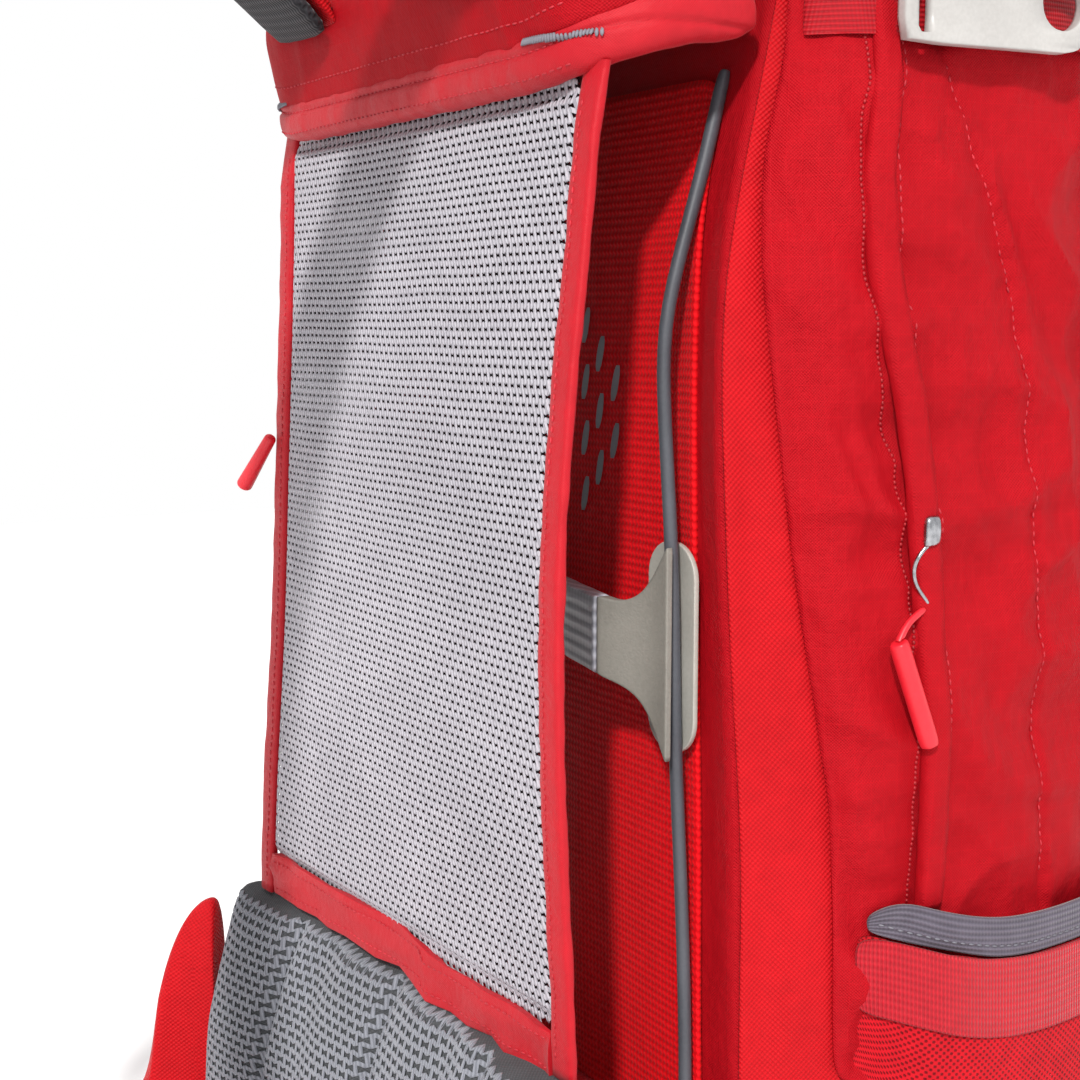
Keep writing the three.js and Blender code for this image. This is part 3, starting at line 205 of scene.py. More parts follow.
def clothMaterial(name):
    look = cloths[name]
    recipe = Recipe(name)
    uv = recipe.place("UV")
    split = recipe.node("ShaderNodeSeparateXYZ")
    recipe.link(uv, split.inputs[0])
    across, along = split.outputs[0], split.outputs[1]
    pitch = look["pitch"] * mm
    if look["weave"] == "rib":
        threads = recipe.wave(along, pitch)
        fine = recipe.wave(across, pitch * 0.7)
        height = recipe.math("MULTIPLY_ADD", fine, 0.25)
        recipe.link(threads, height.node.inputs[2])
    elif look["weave"] == "beads":
        beads = recipe.wave(along, pitch * 1.15)
        height = recipe.math("MULTIPLY_ADD", beads, 0.45)
        recipe.link(recipe.math("MULTIPLY", recipe.wave(across, pitch * 0.65), 0.75), height.node.inputs[2])
    elif look["weave"] == "strands":
        slant = recipe.math("MULTIPLY_ADD", along, 0.35)
        recipe.link(across, slant.node.inputs[2])
        height = recipe.math("MULTIPLY_ADD", recipe.wave(slant, pitch * 0.25), 0.3)
        recipe.link(recipe.wave(slant, pitch), height.node.inputs[2])
    elif look["weave"] == "knit":
        slant = recipe.math("ADD", across, recipe.math("MULTIPLY", recipe.wave(along, pitch * 1.3), pitch * 0.18))
        rows = recipe.wave(along, pitch * 1.3, 1.5)
        height = recipe.math("MULTIPLY_ADD", recipe.wave(slant, pitch), 0.8)
        recipe.link(rows, height.node.inputs[2])
    elif look["weave"] == "net":  # staggered holes, painted dark as the shade seen through the net
        holes = recipe.math("MULTIPLY", recipe.wave(across, pitch), recipe.wave(along, pitch * 0.8))
        height = recipe.math("MULTIPLY_ADD", recipe.ramp(holes, 0.75, 0.1), 2.2)
        height.node.inputs[2].default_value = -1.0
    else:
        height = recipe.math("MULTIPLY", recipe.wave(across, pitch), recipe.wave(along, pitch))
    if look["weave"] == "ripstop":
        cell = 5.2 * mm
        lines = recipe.math("MAXIMUM", recipe.wave(across, cell), recipe.wave(along, cell))
        raised = recipe.ramp(lines, 0.93, 1.0)
        height = recipe.math("MULTIPLY_ADD", raised, 0.5)
        threads = recipe.math("MULTIPLY", recipe.wave(across, pitch), recipe.wave(along, pitch))
        recipe.link(threads, height.node.inputs[2])
    shade = recipe.ramp(height, -1.0, 1.2)
    cloud = recipe.ramp(recipe.noise(recipe.place("Object"), 14, 4), 0.3, 0.75)
    mottle = recipe.ramp(recipe.noise(recipe.place("Object"), 160, 2), 0.25, 0.8)
    light = recipe.math("MULTIPLY_ADD", shade, 0.55)
    light.node.inputs[2].default_value = 0.08
    light = recipe.math("ADD", light, recipe.math("MULTIPLY", cloud, 0.22))
    light = recipe.math("ADD", light, recipe.math("MULTIPLY", mottle, 0.22))
    colour = recipe.mix(light, linear(look["deep"]), linear(look["face"]))
    recipe.link(colour, recipe.shader.inputs["Base Color"])
    recipe.shader.inputs["Roughness"].default_value = look["rough"]
    recipe.shader.inputs["Sheen Weight"].default_value = look["sheen"]
    recipe.shader.inputs["Sheen Roughness"].default_value = 0.4
    recipe.shader.inputs["Specular IOR Level"].default_value = look["shine"]
    normal = recipe.bump(height, look["relief"], 0.5 * mm)
    if look["crumple"] > 0:
        crease = recipe.noise(recipe.place("Object"), 70, 5, 0.6)
        normal = recipe.bump(crease, look["crumple"], 1.6 * mm, normal)
        crinkle = recipe.noise(recipe.place("Object"), 260, 5, 0.65)
        normal = recipe.bump(crinkle, look["crumple"], 0.7 * mm, normal)
    recipe.link(normal, recipe.shader.inputs["Normal"])
    return recipe.material


# plastics, rubber, thread and print
hardColumns = ("face", "deep", "rough", "grain", "relief")
hardRows = {
    "sheath": ("54575e", "33353b", 0.5, 900, 0.15),
    "palePlastic": ("bfbcb9", "9c9996", 0.38, 700, 0.06),
    "clipPlastic": ("bab8b0", "8b8981", 0.42, 700, 0.08),
    "wingGrey": ("8c8981", "66635d", 0.5, 700, 0.5),
    "redRubber": ("ea2636", "c41624", 0.42, 500, 0.1),
    "thread": ("d8303e", "780a14", 0.6, 3000, 0.3),
    "greyThread": ("8a8892", "4c4b52", 0.6, 3000, 0.3),
    "printGrey": ("9b9aa0", "6f6e75", 0.5, 1200, 0.2),
    "zipTeeth": ("b3101c", "6d060e", 0.4, 900, 0.1),
}
hards = {name: dict(zip(hardColumns, row)) for name, row in hardRows.items()}


def hardMaterial(name):
    look = hards[name]
    recipe = Recipe(name)
    place = recipe.place("Object")
    grain = recipe.noise(place, look["grain"], 3)
    wear = recipe.ramp(recipe.noise(place, 22, 5), 0.3, 0.75)
    light = recipe.math("MULTIPLY_ADD", grain, 0.5)
    recipe.link(recipe.math("MULTIPLY", wear, 0.6), light.node.inputs[2])
    recipe.link(recipe.mix(light, linear(look["deep"]), linear(look["face"])), recipe.shader.inputs["Base Color"])
    rough = recipe.math("MULTIPLY_ADD", wear, 0.12)
    rough.node.inputs[2].default_value = look["rough"] - 0.06
    recipe.link(rough, recipe.shader.inputs["Roughness"])
    cells = recipe.node("ShaderNodeTexVoronoi", feature="DISTANCE_TO_EDGE")
    cells.inputs["Scale"].default_value = look["grain"]
    recipe.link(place, cells.inputs["Vector"])
    recipe.link(recipe.bump(cells.outputs[0], look["relief"], 0.3 * mm), recipe.shader.inputs["Normal"])
    return recipe.material


def steelMaterial():
    recipe = Recipe("polishedSteel")
    place = recipe.place("Object")
    streak = recipe.ramp(recipe.noise(place, 400, 3), 0.3, 0.8)
    recipe.link(recipe.mix(streak, linear("85868a"), linear("c4c5c9")), recipe.shader.inputs["Base Color"])
    recipe.shader.inputs["Metallic"].default_value = 1.0
    rough = recipe.math("MULTIPLY_ADD", streak, 0.15)
    rough.node.inputs[2].default_value = 0.2
    recipe.link(rough, recipe.shader.inputs["Roughness"])
    recipe.link(recipe.bump(streak, 0.1, 0.1 * mm), recipe.shader.inputs["Normal"])
    return recipe.material


# shaping helpers

sides = (("left", 1), ("right", -1))
ahead, behind = Vector((0, 1, 0)), Vector((0, -1, 0))


def clamp(value):
    return min(1.0, max(0.0, value))


def smooth(value):
    # 0 up to 0, 1 from 1 on, and a soft step between
    share = clamp(value)
    return share * share * (3 - 2 * share)


def hump(distance, width):
    return math.exp(-(distance / width) ** 2)


# mesh helpers

def objectFrom(bm, name):
    mesh = bpy.data.meshes.new(name)
    bm.to_mesh(mesh)
    bm.free()
    made = bpy.data.objects.new(name, mesh)
    bpy.context.collection.objects.link(made)
    for face in mesh.polygons:
        face.use_smooth = True
    return made


def nodeMesh(node):
    # the node's own mesh as a bmesh, merged and with its flat triangles joined
    bm = bmesh.new()
    bm.from_mesh(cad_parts[node].data)
    bmesh.ops.remove_doubles(bm, verts=bm.verts, dist=0.02 * mm)
    bmesh.ops.join_triangles(
        bm, faces=bm.faces, cmp_seam=False, cmp_sharp=False, cmp_uvs=False, cmp_vcols=False,
        cmp_materials=False, angle_face_threshold=math.radians(40), angle_shape_threshold=math.radians(50))
    return bm


def settle(thing):
    # applies a piece's modifiers, so that later steps see its final mesh
    graph = bpy.context.evaluated_depsgraph_get()
    done = bpy.data.meshes.new_from_object(thing.evaluated_get(graph))
    thing.modifiers.clear()
    old = thing.data
    thing.data = done
    bpy.data.meshes.remove(old)
    done.name = thing.name
    return thing


def subdivide(thing, levels):
    made = thing.modifiers.new("smooth", "SUBSURF")
    made.levels = made.render_levels = levels
    made.uv_smooth = "PRESERVE_BOUNDARIES"
    return settle(thing)


def boxMap(thing):
    # a UV map in metres: each face is laid flat along the axis that it faces most
    mesh = thing.data
    layer = mesh.uv_layers.get("cloth") or mesh.uv_layers.new(name="cloth")
    for face in mesh.polygons:
        n = face.normal
        lead = max(range(3), key=lambda k: abs(n[k]))
        u, v = ((1, 2), (0, 2), (0, 1))[lead]
        for loop in face.loop_indices:
            co = mesh.vertices[mesh.loops[loop].vertex_index].co
            layer.data[loop].uv = (co[u], co[v])


def dressed(thing, node, material):
    thing.data.materials.clear()
    thing.data.materials.append(materials[material])
    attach(thing, "root")
    if node:
        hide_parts(node)
    return thing


def fitBox(thing, node):
    # stretches a smoothed form back to the size of its node
    wantLow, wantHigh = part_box(node)
    corners = [v.co for v in thing.data.vertices]
    for axis in range(3):
        low, high = min(c[axis] for c in corners), max(c[axis] for c in corners)
        scale = (wantHigh[axis] - wantLow[axis]) / (high - low)
        for c in corners:
            c[axis] = wantLow[axis] + (c[axis] - low) * scale
    thing.data.update()


def rounded(node, name, material, levels=2, crease=0.6, sharp=50, ripple=None, ends=None,
            fit=False):
    # a node's form with its facets smoothed and its folded edges kept by creases
    bm = nodeMesh(node)
    creases = bm.edges.layers.float.get("crease_edge") or bm.edges.layers.float.new("crease_edge")
    for edge in bm.edges:
        if len(edge.link_faces) == 2 and edge.calc_face_angle(0) > math.radians(sharp):
            edge[creases] = crease
    if ends is not None:  # the cut ends of a strip stay square
        spots = [v.co[ends] for v in bm.verts]
        for edge in bm.edges:
            if all(min(abs(v.co[ends] - min(spots)), abs(v.co[ends] - max(spots))) < 0.8 * mm for v in edge.verts):
                edge[creases] = 1
    made = objectFrom(bm, name)
    subdivide(made, levels)
    if fit:
        fitBox(made, node)
    if ripple:
        moveBy(made, ripple)
    boxMap(made)
    return dressed(made, node, material)


def moveBy(thing, rule):
    # moves each vertex by rule(place, normal), a vector
    mesh = thing.data
    normals = [v.normal.copy() for v in mesh.vertices]
    for vertex, normal in zip(mesh.vertices, normals):
        vertex.co = vertex.co + rule(vertex.co.copy(), normal)
    mesh.update()


def mirrored(thing, name, node, material):
    copy = thing.copy()
    copy.data = thing.data.copy()
    copy.name = copy.data.name = name
    bpy.context.collection.objects.link(copy)
    bm = bmesh.new()
    bm.from_mesh(copy.data)
    bmesh.ops.scale(bm, vec=(-1, 1, 1), verts=bm.verts)
    bmesh.ops.reverse_faces(bm, faces=bm.faces)
    bm.to_mesh(copy.data)
    bm.free()
    return dressed(copy, node, material)


def crumple(place, stretch, size, seed=0.0):
    # soft folds: 0 in the valleys, 1 on the crests, drawn out along the stretch direction
    p = Vector((place.x * stretch[0], place.y * stretch[1], place.z * stretch[2])) / size
    p += Vector((seed, seed * 0.7, seed * 1.3))
    bend = Vector((noise.noise(p * 0.7), noise.noise(p * 0.7 + Vector((9, 0, 0))), 0)) * 0.6
    return 1 - abs(noise.noise(p + bend)) * 2.2


# surfaces read off the solids

def treeOf(*nodes):
    places, faces = [], []
    for node in nodes:
        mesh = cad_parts[node].data
        start = len(places)
        places += [v.co.copy() for v in mesh.vertices]
        faces += [[start + i for i in face.vertices] for face in mesh.polygons]
    return BVHTree.FromPolygons(places, faces)


# where rays start, beside and behind the bag, and how far they go
castReach = {"side": 0.4, "sideDepth": 0.6, "back": -0.45, "backDepth": 0.6, "seat": 0.35, "seatDepth": 0.4}


def around(angle):
    return Vector((math.cos(angle), math.sin(angle), 0))


def castIn(tree, angle, z):
    # the outer face of a solid round the bag, at an angle from +X
    far = around(angle) * castReach["side"] + Vector((0, 0, z))
    return tree.ray_cast(far, -around(angle), castReach["sideDepth"])[0]


def resample(points, count):
    total = [0.0]
    for a, b in zip(points, points[1:]):
        total.append(total[-1] + (b - a).length)
    out, k = [], 0
    for i in range(count + 1):
        want = total[-1] * i / count
        while k < len(points) - 2 and total[k + 1] < want:
            k += 1
        span = max(total[k + 1] - total[k], 1e-9)
        out.append(points[k].lerp(points[k + 1], (want - total[k]) / span))
    return out


def wallRows(node, angles, heights, columns, byColumn=False, rows=None):
    # points on a solid's outer face, in rows from low to high.
    # By rows, each height's run of hits is shared out evenly; by columns, each angle's
    tree = treeOf(node)
    if not byColumn:
        out = []
        for z in heights:
            hits = [castIn(tree, math.radians(a * 0.25), z) for a in range(int(angles[0] * 4), int(angles[1] * 4))]
            hits = [h for h in hits if h is not None]
            out.append(resample(hits, columns))
        return out
    ring = []
    middle = (heights[0] + heights[-1]) / 2
    good = [a * 0.25 for a in range(int(angles[0] * 4), int(angles[1] * 4))
            if castIn(tree, math.radians(a * 0.25), middle) is not None]
    for i in range(columns + 1):
        angle = math.radians(good[0] + (good[-1] - good[0]) * i / columns)
        steps = 120
        hits = [castIn(tree, angle, heights[0] + (heights[-1] - heights[0]) * k / steps) for k in range(steps + 1)]
        hits = [h for h in hits if h is not None]
        ring.append(resample(hits, rows))
    return [[column[r] for column in ring] for r in range(rows + 1)]


def gridFrom(rows, name):
    # a sheet through rows of points, with a UV map in metres
    down, across = len(rows), len(rows[0])
    bm = bmesh.new()
    bmesh.ops.create_grid(bm, x_segments=across - 1, y_segments=down - 1, size=1)
    bm.verts.ensure_lookup_table()
    order = sorted(bm.verts, key=lambda v: (round(v.co.y, 5), round(v.co.x, 5)))
    widths = []
    for row in rows:
        run = [0.0]
        for a, b in zip(row, row[1:]):
            run.append(run[-1] + (b - a).length)
        widths.append([w - run[-1] / 2 for w in run])
    spots = {}
    rise = 0.0
    for r in range(down):
        if r:
            rise += (rows[r][across // 2] - rows[r - 1][across // 2]).length
        for c in range(across):
            vertex = order[r * across + c]
            vertex.co = rows[r][c]
            spots[vertex] = (widths[r][c], rise)
    layer = bm.loops.layers.uv.new("cloth")
    for face in bm.faces:
        for loop in face.loops:
            loop[layer].uv = spots[loop.vert]
    return objectFrom(bm, name)


def faceOut(thing, outward):
    # turns a sheet so that its faces point the way that outward(place) does
    bm = bmesh.new()
    bm.from_mesh(thing.data)
    total = sum(face.normal.dot(outward(face.calc_center_median())) * face.calc_area() for face in bm.faces)
    if total < 0:
        bmesh.ops.reverse_faces(bm, faces=bm.faces)
    bm.to_mesh(thing.data)
    bm.free()


def thicken(thing, thickness):
    made = thing.modifiers.new("wall", "SOLIDIFY")
    made.thickness = thickness
    made.offset = -1
    made.use_even_offset = True
    return settle(thing)


def outwards(place):
    return Vector((place.x, place.y * 0.6, 0))


def edgeFade(thing, width):
    # for each vertex, 0 at the sheet's edge and 1 or more from some way in
    mesh = thing.data
    layer = mesh.uv_layers["cloth"]
    spots = [None] * len(mesh.vertices)
    for loop in mesh.loops:
        spots[loop.vertex_index] = layer.data[loop.index].uv.copy()
    rim = set()
    uses = {}
    for face in mesh.polygons:
        for key in face.edge_keys:
            uses[key] = uses.get(key, 0) + 1
    for key, count in uses.items():
        if count == 1:
            rim.update(key)
    edge = [(spots[i].x, spots[i].y, 0) for i in rim]
    finder = KDTree(len(edge))
    for i, spot in enumerate(edge):
        finder.insert(spot, i)
    finder.balance()
    return [finder.find((s.x, s.y, 0))[2] / width for s in spots]


def moveSheet(thing, rule, fadeWidth):
    fade = edgeFade(thing, fadeWidth)
    mesh = thing.data
    normals = [v.normal.copy() for v in mesh.vertices]
    for i, vertex in enumerate(mesh.vertices):
        vertex.co = vertex.co + normals[i] * (rule(vertex.co.copy()) * smooth(fade[i]))
    mesh.update()


def levels(low, high, count):
    return [low + (high - low) * i / count for i in range(count + 1)]


sideAngles = (-60, 60)


def wallPair(node, name, material, look, rule=None):
    # a cloth wall on the bag's left side, and its mirror image on the right.
    # look says its margin, steps up, columns, wall and fade; a look with rows is read column by column
    low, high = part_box(node + "_left")
    heights = levels(low.z + look["margin"], high.z - look["margin"], look["steps"])
    byColumn = "rows" in look
    made = gridFrom(wallRows(node + "_left", sideAngles, heights, look["columns"], byColumn, look.get("rows")),
                    name + "_left")
    faceOut(made, outwards)
    subdivide(made, 3)
    if rule:
        moveSheet(made, rule, look["fade"])
    thicken(made, look["wall"])
    dressed(made, node + "_left", material)
    mirrored(made, name + "_right", node + "_right", material)


# stitches

stitchLook = {"length": 2.3 * mm, "gap": 1.1 * mm, "radius": 0.4 * mm}


def stitchRun(points, normalAt, name, material="thread", slot="red_binding", lift=0.1 * mm, look=stitchLook):
    # a row of short thread loops along a line of points
    step = look["length"] + look["gap"]
    total = sum((b - a).length for a, b in zip(points, points[1:]))
    count = max(2, int(total / step))
    spots = resample(points, count)
    bm = bmesh.new()
    for i in range(count):
        a, b = spots[i], spots[i + 1]
        ahead = (b - a).normalized()
        up = normalAt((a + b) / 2)
        side = up.cross(ahead).normalized()
        up = ahead.cross(side).normalized()
        made = bmesh.ops.create_icosphere(bm, subdivisions=1, radius=1)["verts"]
        turn = Matrix((ahead * look["length"] * 0.55, side * look["radius"], up * look["radius"])).transposed()
        middle = (a + b) / 2 + up * lift
        bmesh.ops.transform(bm, matrix=Matrix.Translation(middle) @ turn.to_4x4(), verts=made)
    thing = objectFrom(bm, name)
    return dressed(thing, None, material)


def surfaceOf(*things):
    places, faces = [], []
    for thing in things:
        start = len(places)
        places += [v.co.copy() for v in thing.data.vertices]
        faces += [[start + i for i in face.vertices] for face in thing.data.polygons]
    return BVHTree.FromPolygons(places, faces)


def seatedRun(spots, direction, tree, name, **more):
    # stitches along spots that are dropped onto a surface along a direction
    hits, ups = [], []
    for spot in spots:
        place, normal, _, _ = tree.ray_cast(spot, direction, castReach["seatDepth"])
        if place is not None:
            hits.append(place)
            ups.append(normal if normal.dot(direction) < 0 else -normal)
    if len(hits) < 2:
        print("no seat for", name)
        return None

    def normalAt(p):
        return ups[min(range(len(hits)), key=lambda i: (hits[i] - p).length_squared)]
    return stitchRun(hits, normalAt, name, **more)


# nets

def netGrid(width, height, cellWide, cellTall, hole, lean):
    # a flat staggered net in X and Z, with six-sided openings that lean over
    columns = int(width / cellWide)
    rows = int(height / cellTall)
    bm = bmesh.new()
    bmesh.ops.create_grid(bm, x_segments=2 * columns, y_segments=rows, size=0.5)
    for vertex in bm.verts:
        i = round((vertex.co.x + 0.5) * 2 * columns)
        j = round((vertex.co.y + 0.5) * rows)
        zig = cellTall * 0.17 * (1 if (i + j) % 2 else -1)
        edge = j in (0, rows)
        vertex.co = Vector((
            (i / (2 * columns) - 0.5) * width, 0, (j / rows - 0.5) * height + (0 if edge else zig)))
    loose = []
    for edge in bm.edges:
        a, b = edge.verts
        if abs(a.co.x - b.co.x) < 1e-6 and len(edge.link_faces) == 2:
            i = round((a.co.x / width + 0.5) * 2 * columns)
            j = math.floor(((a.co.z + b.co.z) / 2 / height + 0.5) * rows)
            if (i + j) % 2:
                loose.append(edge)
    bmesh.ops.dissolve_edges(bm, edges=loose, use_verts=False, use_face_split=False)
    whole = [face for face in bm.faces if len(face.verts) == 6]
    squeeze = (cellTall - hole[1]) / (cellWide - hole[0])  # so that one inset gives both widths of strand
    bmesh.ops.scale(bm, vec=(squeeze, 1, 1), verts=bm.verts)
    bmesh.ops.inset_individual(bm, faces=whole, thickness=(cellTall - hole[1]) / 2, use_even_offset=True)
    bmesh.ops.scale(bm, vec=(1 / squeeze, 1, 1), verts=bm.verts)
    for face in whole:
        middle = face.calc_center_median()
        for vertex in face.verts:
            vertex.co.x -= (vertex.co.z - middle.z) * lean
    bmesh.ops.delete(bm, geom=whole, context="FACES")
    return bm


def netPiece(name, node, tree, low, high, look, material, warp=None, wall=True):
    # a net laid on a surface that is read along +Y
    width, height = high[0] - low[0], high[1] - low[1]
    bm = netGrid(width, height, *look["cell"], look["hole"], look["lean"])
    layer = bm.loops.layers.uv.new("cloth")
    for face in bm.faces:
        for loop in face.loops:
            loop[layer].uv = (loop.vert.co.x, loop.vert.co.z)
    middle = Vector(((low[0] + high[0]) / 2, 0, (low[1] + high[1]) / 2))
    missed = []
    for vertex in bm.verts:
        spot = vertex.co + middle
        if warp:
            spot += warp(spot)
        hit = tree.ray_cast(Vector((spot.x, castReach["back"], spot.z)), ahead, castReach["backDepth"])[0]
        if hit is None:
            missed.append(vertex)
            continue
        vertex.co = hit - Vector((0, look["lift"], 0))
    bmesh.ops.delete(bm, geom=missed, context="VERTS")
    bmesh.ops.recalc_face_normals(bm, faces=bm.faces)
    made = objectFrom(bm, name)
    faceOut(made, lambda place: behind)
    if wall:
        thicken(made, look["thickness"])
    return dressed(made, node, material)


def planeRows(node, margin, across, up):
    # rows of points on a solid's rear face, and where they lie in X and Z
    tree = treeOf(node)
    low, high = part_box(node)
    low, high = (low.x + margin, low.z + margin), (high.x - margin, high.z - margin)
    rows = []
    for j in range(up + 1):
        z = low[1] + (high[1] - low[1]) * j / up
        row = []
        for i in range(across + 1):
            x = low[0] + (high[0] - low[0]) * i / across
            hit = tree.ray_cast(Vector((x, castReach["back"], z)), ahead, 2 * castReach["backDepth"])[0]
            row.append(hit if hit is not None else (row[-1].copy() if row else Vector((x, 0, z))))
        rows.append(row)
    return rows


materials = {name: clothMaterial(name) for name in cloths}
materials.update({name: hardMaterial(name) for name in hards})
materials["polishedSteel"] = steelMaterial()
makeStudio()
print("studio and materials made")

# bag and its walls

bagLook = {"wrinkle": 1.6 * mm, "size": 0.05, "rear": -0.085, "rearFade": 0.04, "foot": 0.03, "footFade": 0.05}


def bagRipple(place, normal):
    out = Vector((place.x, place.y, 0)).normalized()
    fold = crumple(place, (1, 1, 0.45), bagLook["size"], 3.0)
    fade = clamp((place.y - bagLook["rear"]) / bagLook["rearFade"])
    fade *= clamp((place.z - bagLook["foot"]) / bagLook["footFade"])
    return out * (fold - 0.6) * bagLook["wrinkle"] * fade


def makeBag():
    rounded("main_bag", "bag_shell", "ripstop", levels=2, crease=0.9, ripple=bagRipple)
    rounded("base_panel", "base_cloth", "packCloth", levels=2, crease=0.8)


gussetLook = {"fold": 1.1 * mm, "size": 0.028, "grain": 0.25 * mm,
              "margin": 0.4 * mm, "steps": 14, "columns": 4, "wall": 1.2 * mm, "fade": 8 * mm}


def gussetRule(place):
    long = crumple(place, (1, 1, 0.3), gussetLook["size"], 5.0) - 0.55
    return long * gussetLook["fold"] + noise.noise(place * 90) * gussetLook["grain"]


pocketLook = {"fold": 4.2 * mm, "foldSize": 0.042, "crease": 1.9 * mm, "creaseSize": 0.02, "grain": 0.3 * mm,
              "pucker": 3 * mm, "puckerAt": -0.06, "puckerReach": 0.022,
              "gather": 1.3 * mm, "gatherReach": 9 * mm, "groove": 1.4 * mm, "grooveWidth": 2 * mm,
              "margin": 0.4 * mm, "steps": 22, "columns": 11, "wall": 1 * mm, "fade": 9 * mm}
# height and forward place of each point on the pocket's second seam
pocketSeam = [(0.216, 14 * mm), (0.318, 1.5 * mm), (0.424, -14 * mm), (0.505, -47 * mm)]
seamTop = 0.5


def seamLine(z):
    # how far forward the pocket's second seam lies at a height
    for (z0, y0), (z1, y1) in zip(pocketSeam, pocketSeam[1:]):
        if z <= z1:
            return y0 + (y1 - y0) * (z - z0) / (z1 - z0)
    return pocketSeam[-1][1]


def pocketRule(place):
    # broad folds, slanted creases, puckers beside the flap, and cloth gathered along the seam
    look = pocketLook
    fold = crumple(place, (1, 0.7, 0.8), look["foldSize"], 1.0) - 0.5
    slant = Vector((place.x, place.y * 0.9 + place.z * 0.45, place.z * 0.8 - place.y * 0.3))
    crease = crumple(slant, (1, 1, 0.6), look["creaseSize"], 7.0) - 0.5
    ridge = abs(noise.noise(Vector((0, place.y * 16 + place.z * 8, place.z * 46 + 3))))
    pucker = (0.45 - 2 * ridge) * hump(place.y - look["puckerAt"], look["puckerReach"])
    off = abs(place.y - seamLine(place.z))
    gather = noise.noise(Vector((0, place.y * 40, place.z * 170))) * hump(off, look["gatherReach"])
    return (fold * look["fold"] + crease * look["crease"] + pucker * look["pucker"] + gather * look["gather"]
            + noise.noise(place * 150) * look["grain"] - hump(off, look["grooveWidth"]) * look["groove"])


def makeSides():
    wallPair("side_gusset", "gusset_cloth", "packCloth", gussetLook, gussetRule)
    wallPair("side_pocket", "pocket_cloth", "ripstop", pocketLook, pocketRule)


backLook = {"fold": 0.7 * mm, "size": 0.05, "fade": 12 * mm, "wall": 1.6 * mm}


def makeBackWall():
    made = gridFrom(planeRows("back_panel", 0.3 * mm, 12, 16), "back_wall")
    faceOut(made, lambda place: behind)
    subdivide(made, 3)
    moveSheet(made, lambda p: (crumple(p, (1, 1, 0.25), backLook["size"], 2.0) - 0.6) * backLook["fold"],
              backLook["fade"])
    thicken(made, backLook["wall"])
    return dressed(made, "back_panel", "backCloth")


makeBag()
makeSides()
backWall = makeBackWall()
print("bag, sides and back wall made")

# top yoke and hem

yokeLook = {"pull": 0.9 * mm, "size": 0.026, "grain": 0.2 * mm, "rim": 0.53, "rimFade": 0.02, "rimDrop": 3 * mm}
# the hem's lower edge starts at low and rises towards its ends
hemLook = {"low": 0.4905, "half": 0.129, "rise": 16 * mm, "pucker": 0.5 * mm, "full": 1 * mm,
           "creaseAt": 10.5 * mm, "creaseWidth": 0.9 * mm, "crease": 1.3 * mm}


def yokeRule(place, normal):
    out = Vector((place.x * 0.6, place.y + 0.08, 0)).normalized()
    pull = crumple(place, (1, 1, 0.3), yokeLook["size"], 4.0) - 0.55
    fine = noise.noise(place * 140) * yokeLook["grain"]
    low = clamp((yokeLook["rim"] - place.z) / yokeLook["rimFade"])  # its lower rim goes down behind the roll
    return out * (pull * yokeLook["pull"] + fine) - Vector((0, 0, yokeLook["rimDrop"])) * low


def hemRise(x):
    return hemLook["rise"] * smooth((abs(x) / hemLook["half"] * 0.74 - 0.5) / 0.5)


def hemRule(place, normal):
    # gathered by its stitches, with a crease above the roll
    pucker = noise.noise(Vector((place.x * 130, place.y * 130, place.z * 20)))
    up = place.z - hemLook["low"] - hemRise(place.x)
    crease = hump(up - hemLook["creaseAt"], hemLook["creaseWidth"])
    return normal * (pucker * hemLook["pucker"] + hemLook["full"] - crease * hemLook["crease"])


def makeYoke():
    shell = rounded("top_yoke", "yoke_shell", "ripstop", levels=3, crease=0.95, ripple=yokeRule,
                    fit=True)
    hem = rounded("yoke_hem", "yoke_roll", "redBinding", levels=3, crease=0.25, sharp=70,
                  ripple=hemRule, fit=True)
    return shell, hem


# mesh back

netLook = {"cell": (4.15 * mm, 3.05 * mm), "hole": (2.5 * mm, 2.0 * mm), "lean": 0.35, "thickness": 0.4 * mm,
           "lift": 0.2 * mm, "tuck": 2.2 * mm, "underHem": 9 * mm, "underRibbon": 5.5 * mm, "sink": 2.2 * mm,
           "sinkFade": 3 * mm, "spare": 3 * mm, "used": 0.9, "drift": 0.5 * mm}
# a dark sheet just behind the back net: painted shade that darkens the view through its holes
netShadeLook = {"cell": (4.15 * mm, 3.05 * mm), "hole": (1.9 * mm, 1.3 * mm), "lean": 0.2, "lift": -1.1 * mm,
               "underHem": 12 * mm, "underRibbon": 3 * mm}
ribbonLook = {"step": 0.022, "stepWidth": 1.2 * mm, "stepStand": 0.5 * mm, "drop": 4 * mm, "pucker": 3.2 * mm,
              "size": 0.0085, "edge": 0.8 * mm, "raise": 1.2 * mm}
bindingLook = {"uneven": 0.5 * mm, "top": 0.474, "topFade": 15 * mm, "topLean": 3 * mm, "topRise": 7 * mm}


def ribbonRule(place, normal):
    # gathered along its stitches, with a step where one length of ribbon overlaps the next
    gather = (crumple(place, (1.0, 1, 0.3), ribbonLook["size"], 6.0) - 0.5) * ribbonLook["pucker"]
    edge = noise.noise(Vector((place.x * 70, 0, 4))) * ribbonLook["edge"]
    step = clamp((place.x - ribbonLook["step"]) / ribbonLook["stepWidth"])
    return Vector((0, -gather - step * ribbonLook["stepStand"],
                   edge - step * ribbonLook["drop"] + ribbonLook["raise"]))


def bindingRule(place, normal):
    # a little uneven, and its top goes up behind the hem
    top = clamp((place.z - bindingLook["top"]) / bindingLook["topFade"])
    uneven = noise.noise(Vector((place.x * 60, place.y * 60, place.z * 110)))
    return normal * uneven * bindingLook["uneven"] + Vector((0, bindingLook["topLean"], bindingLook["topRise"])) * top


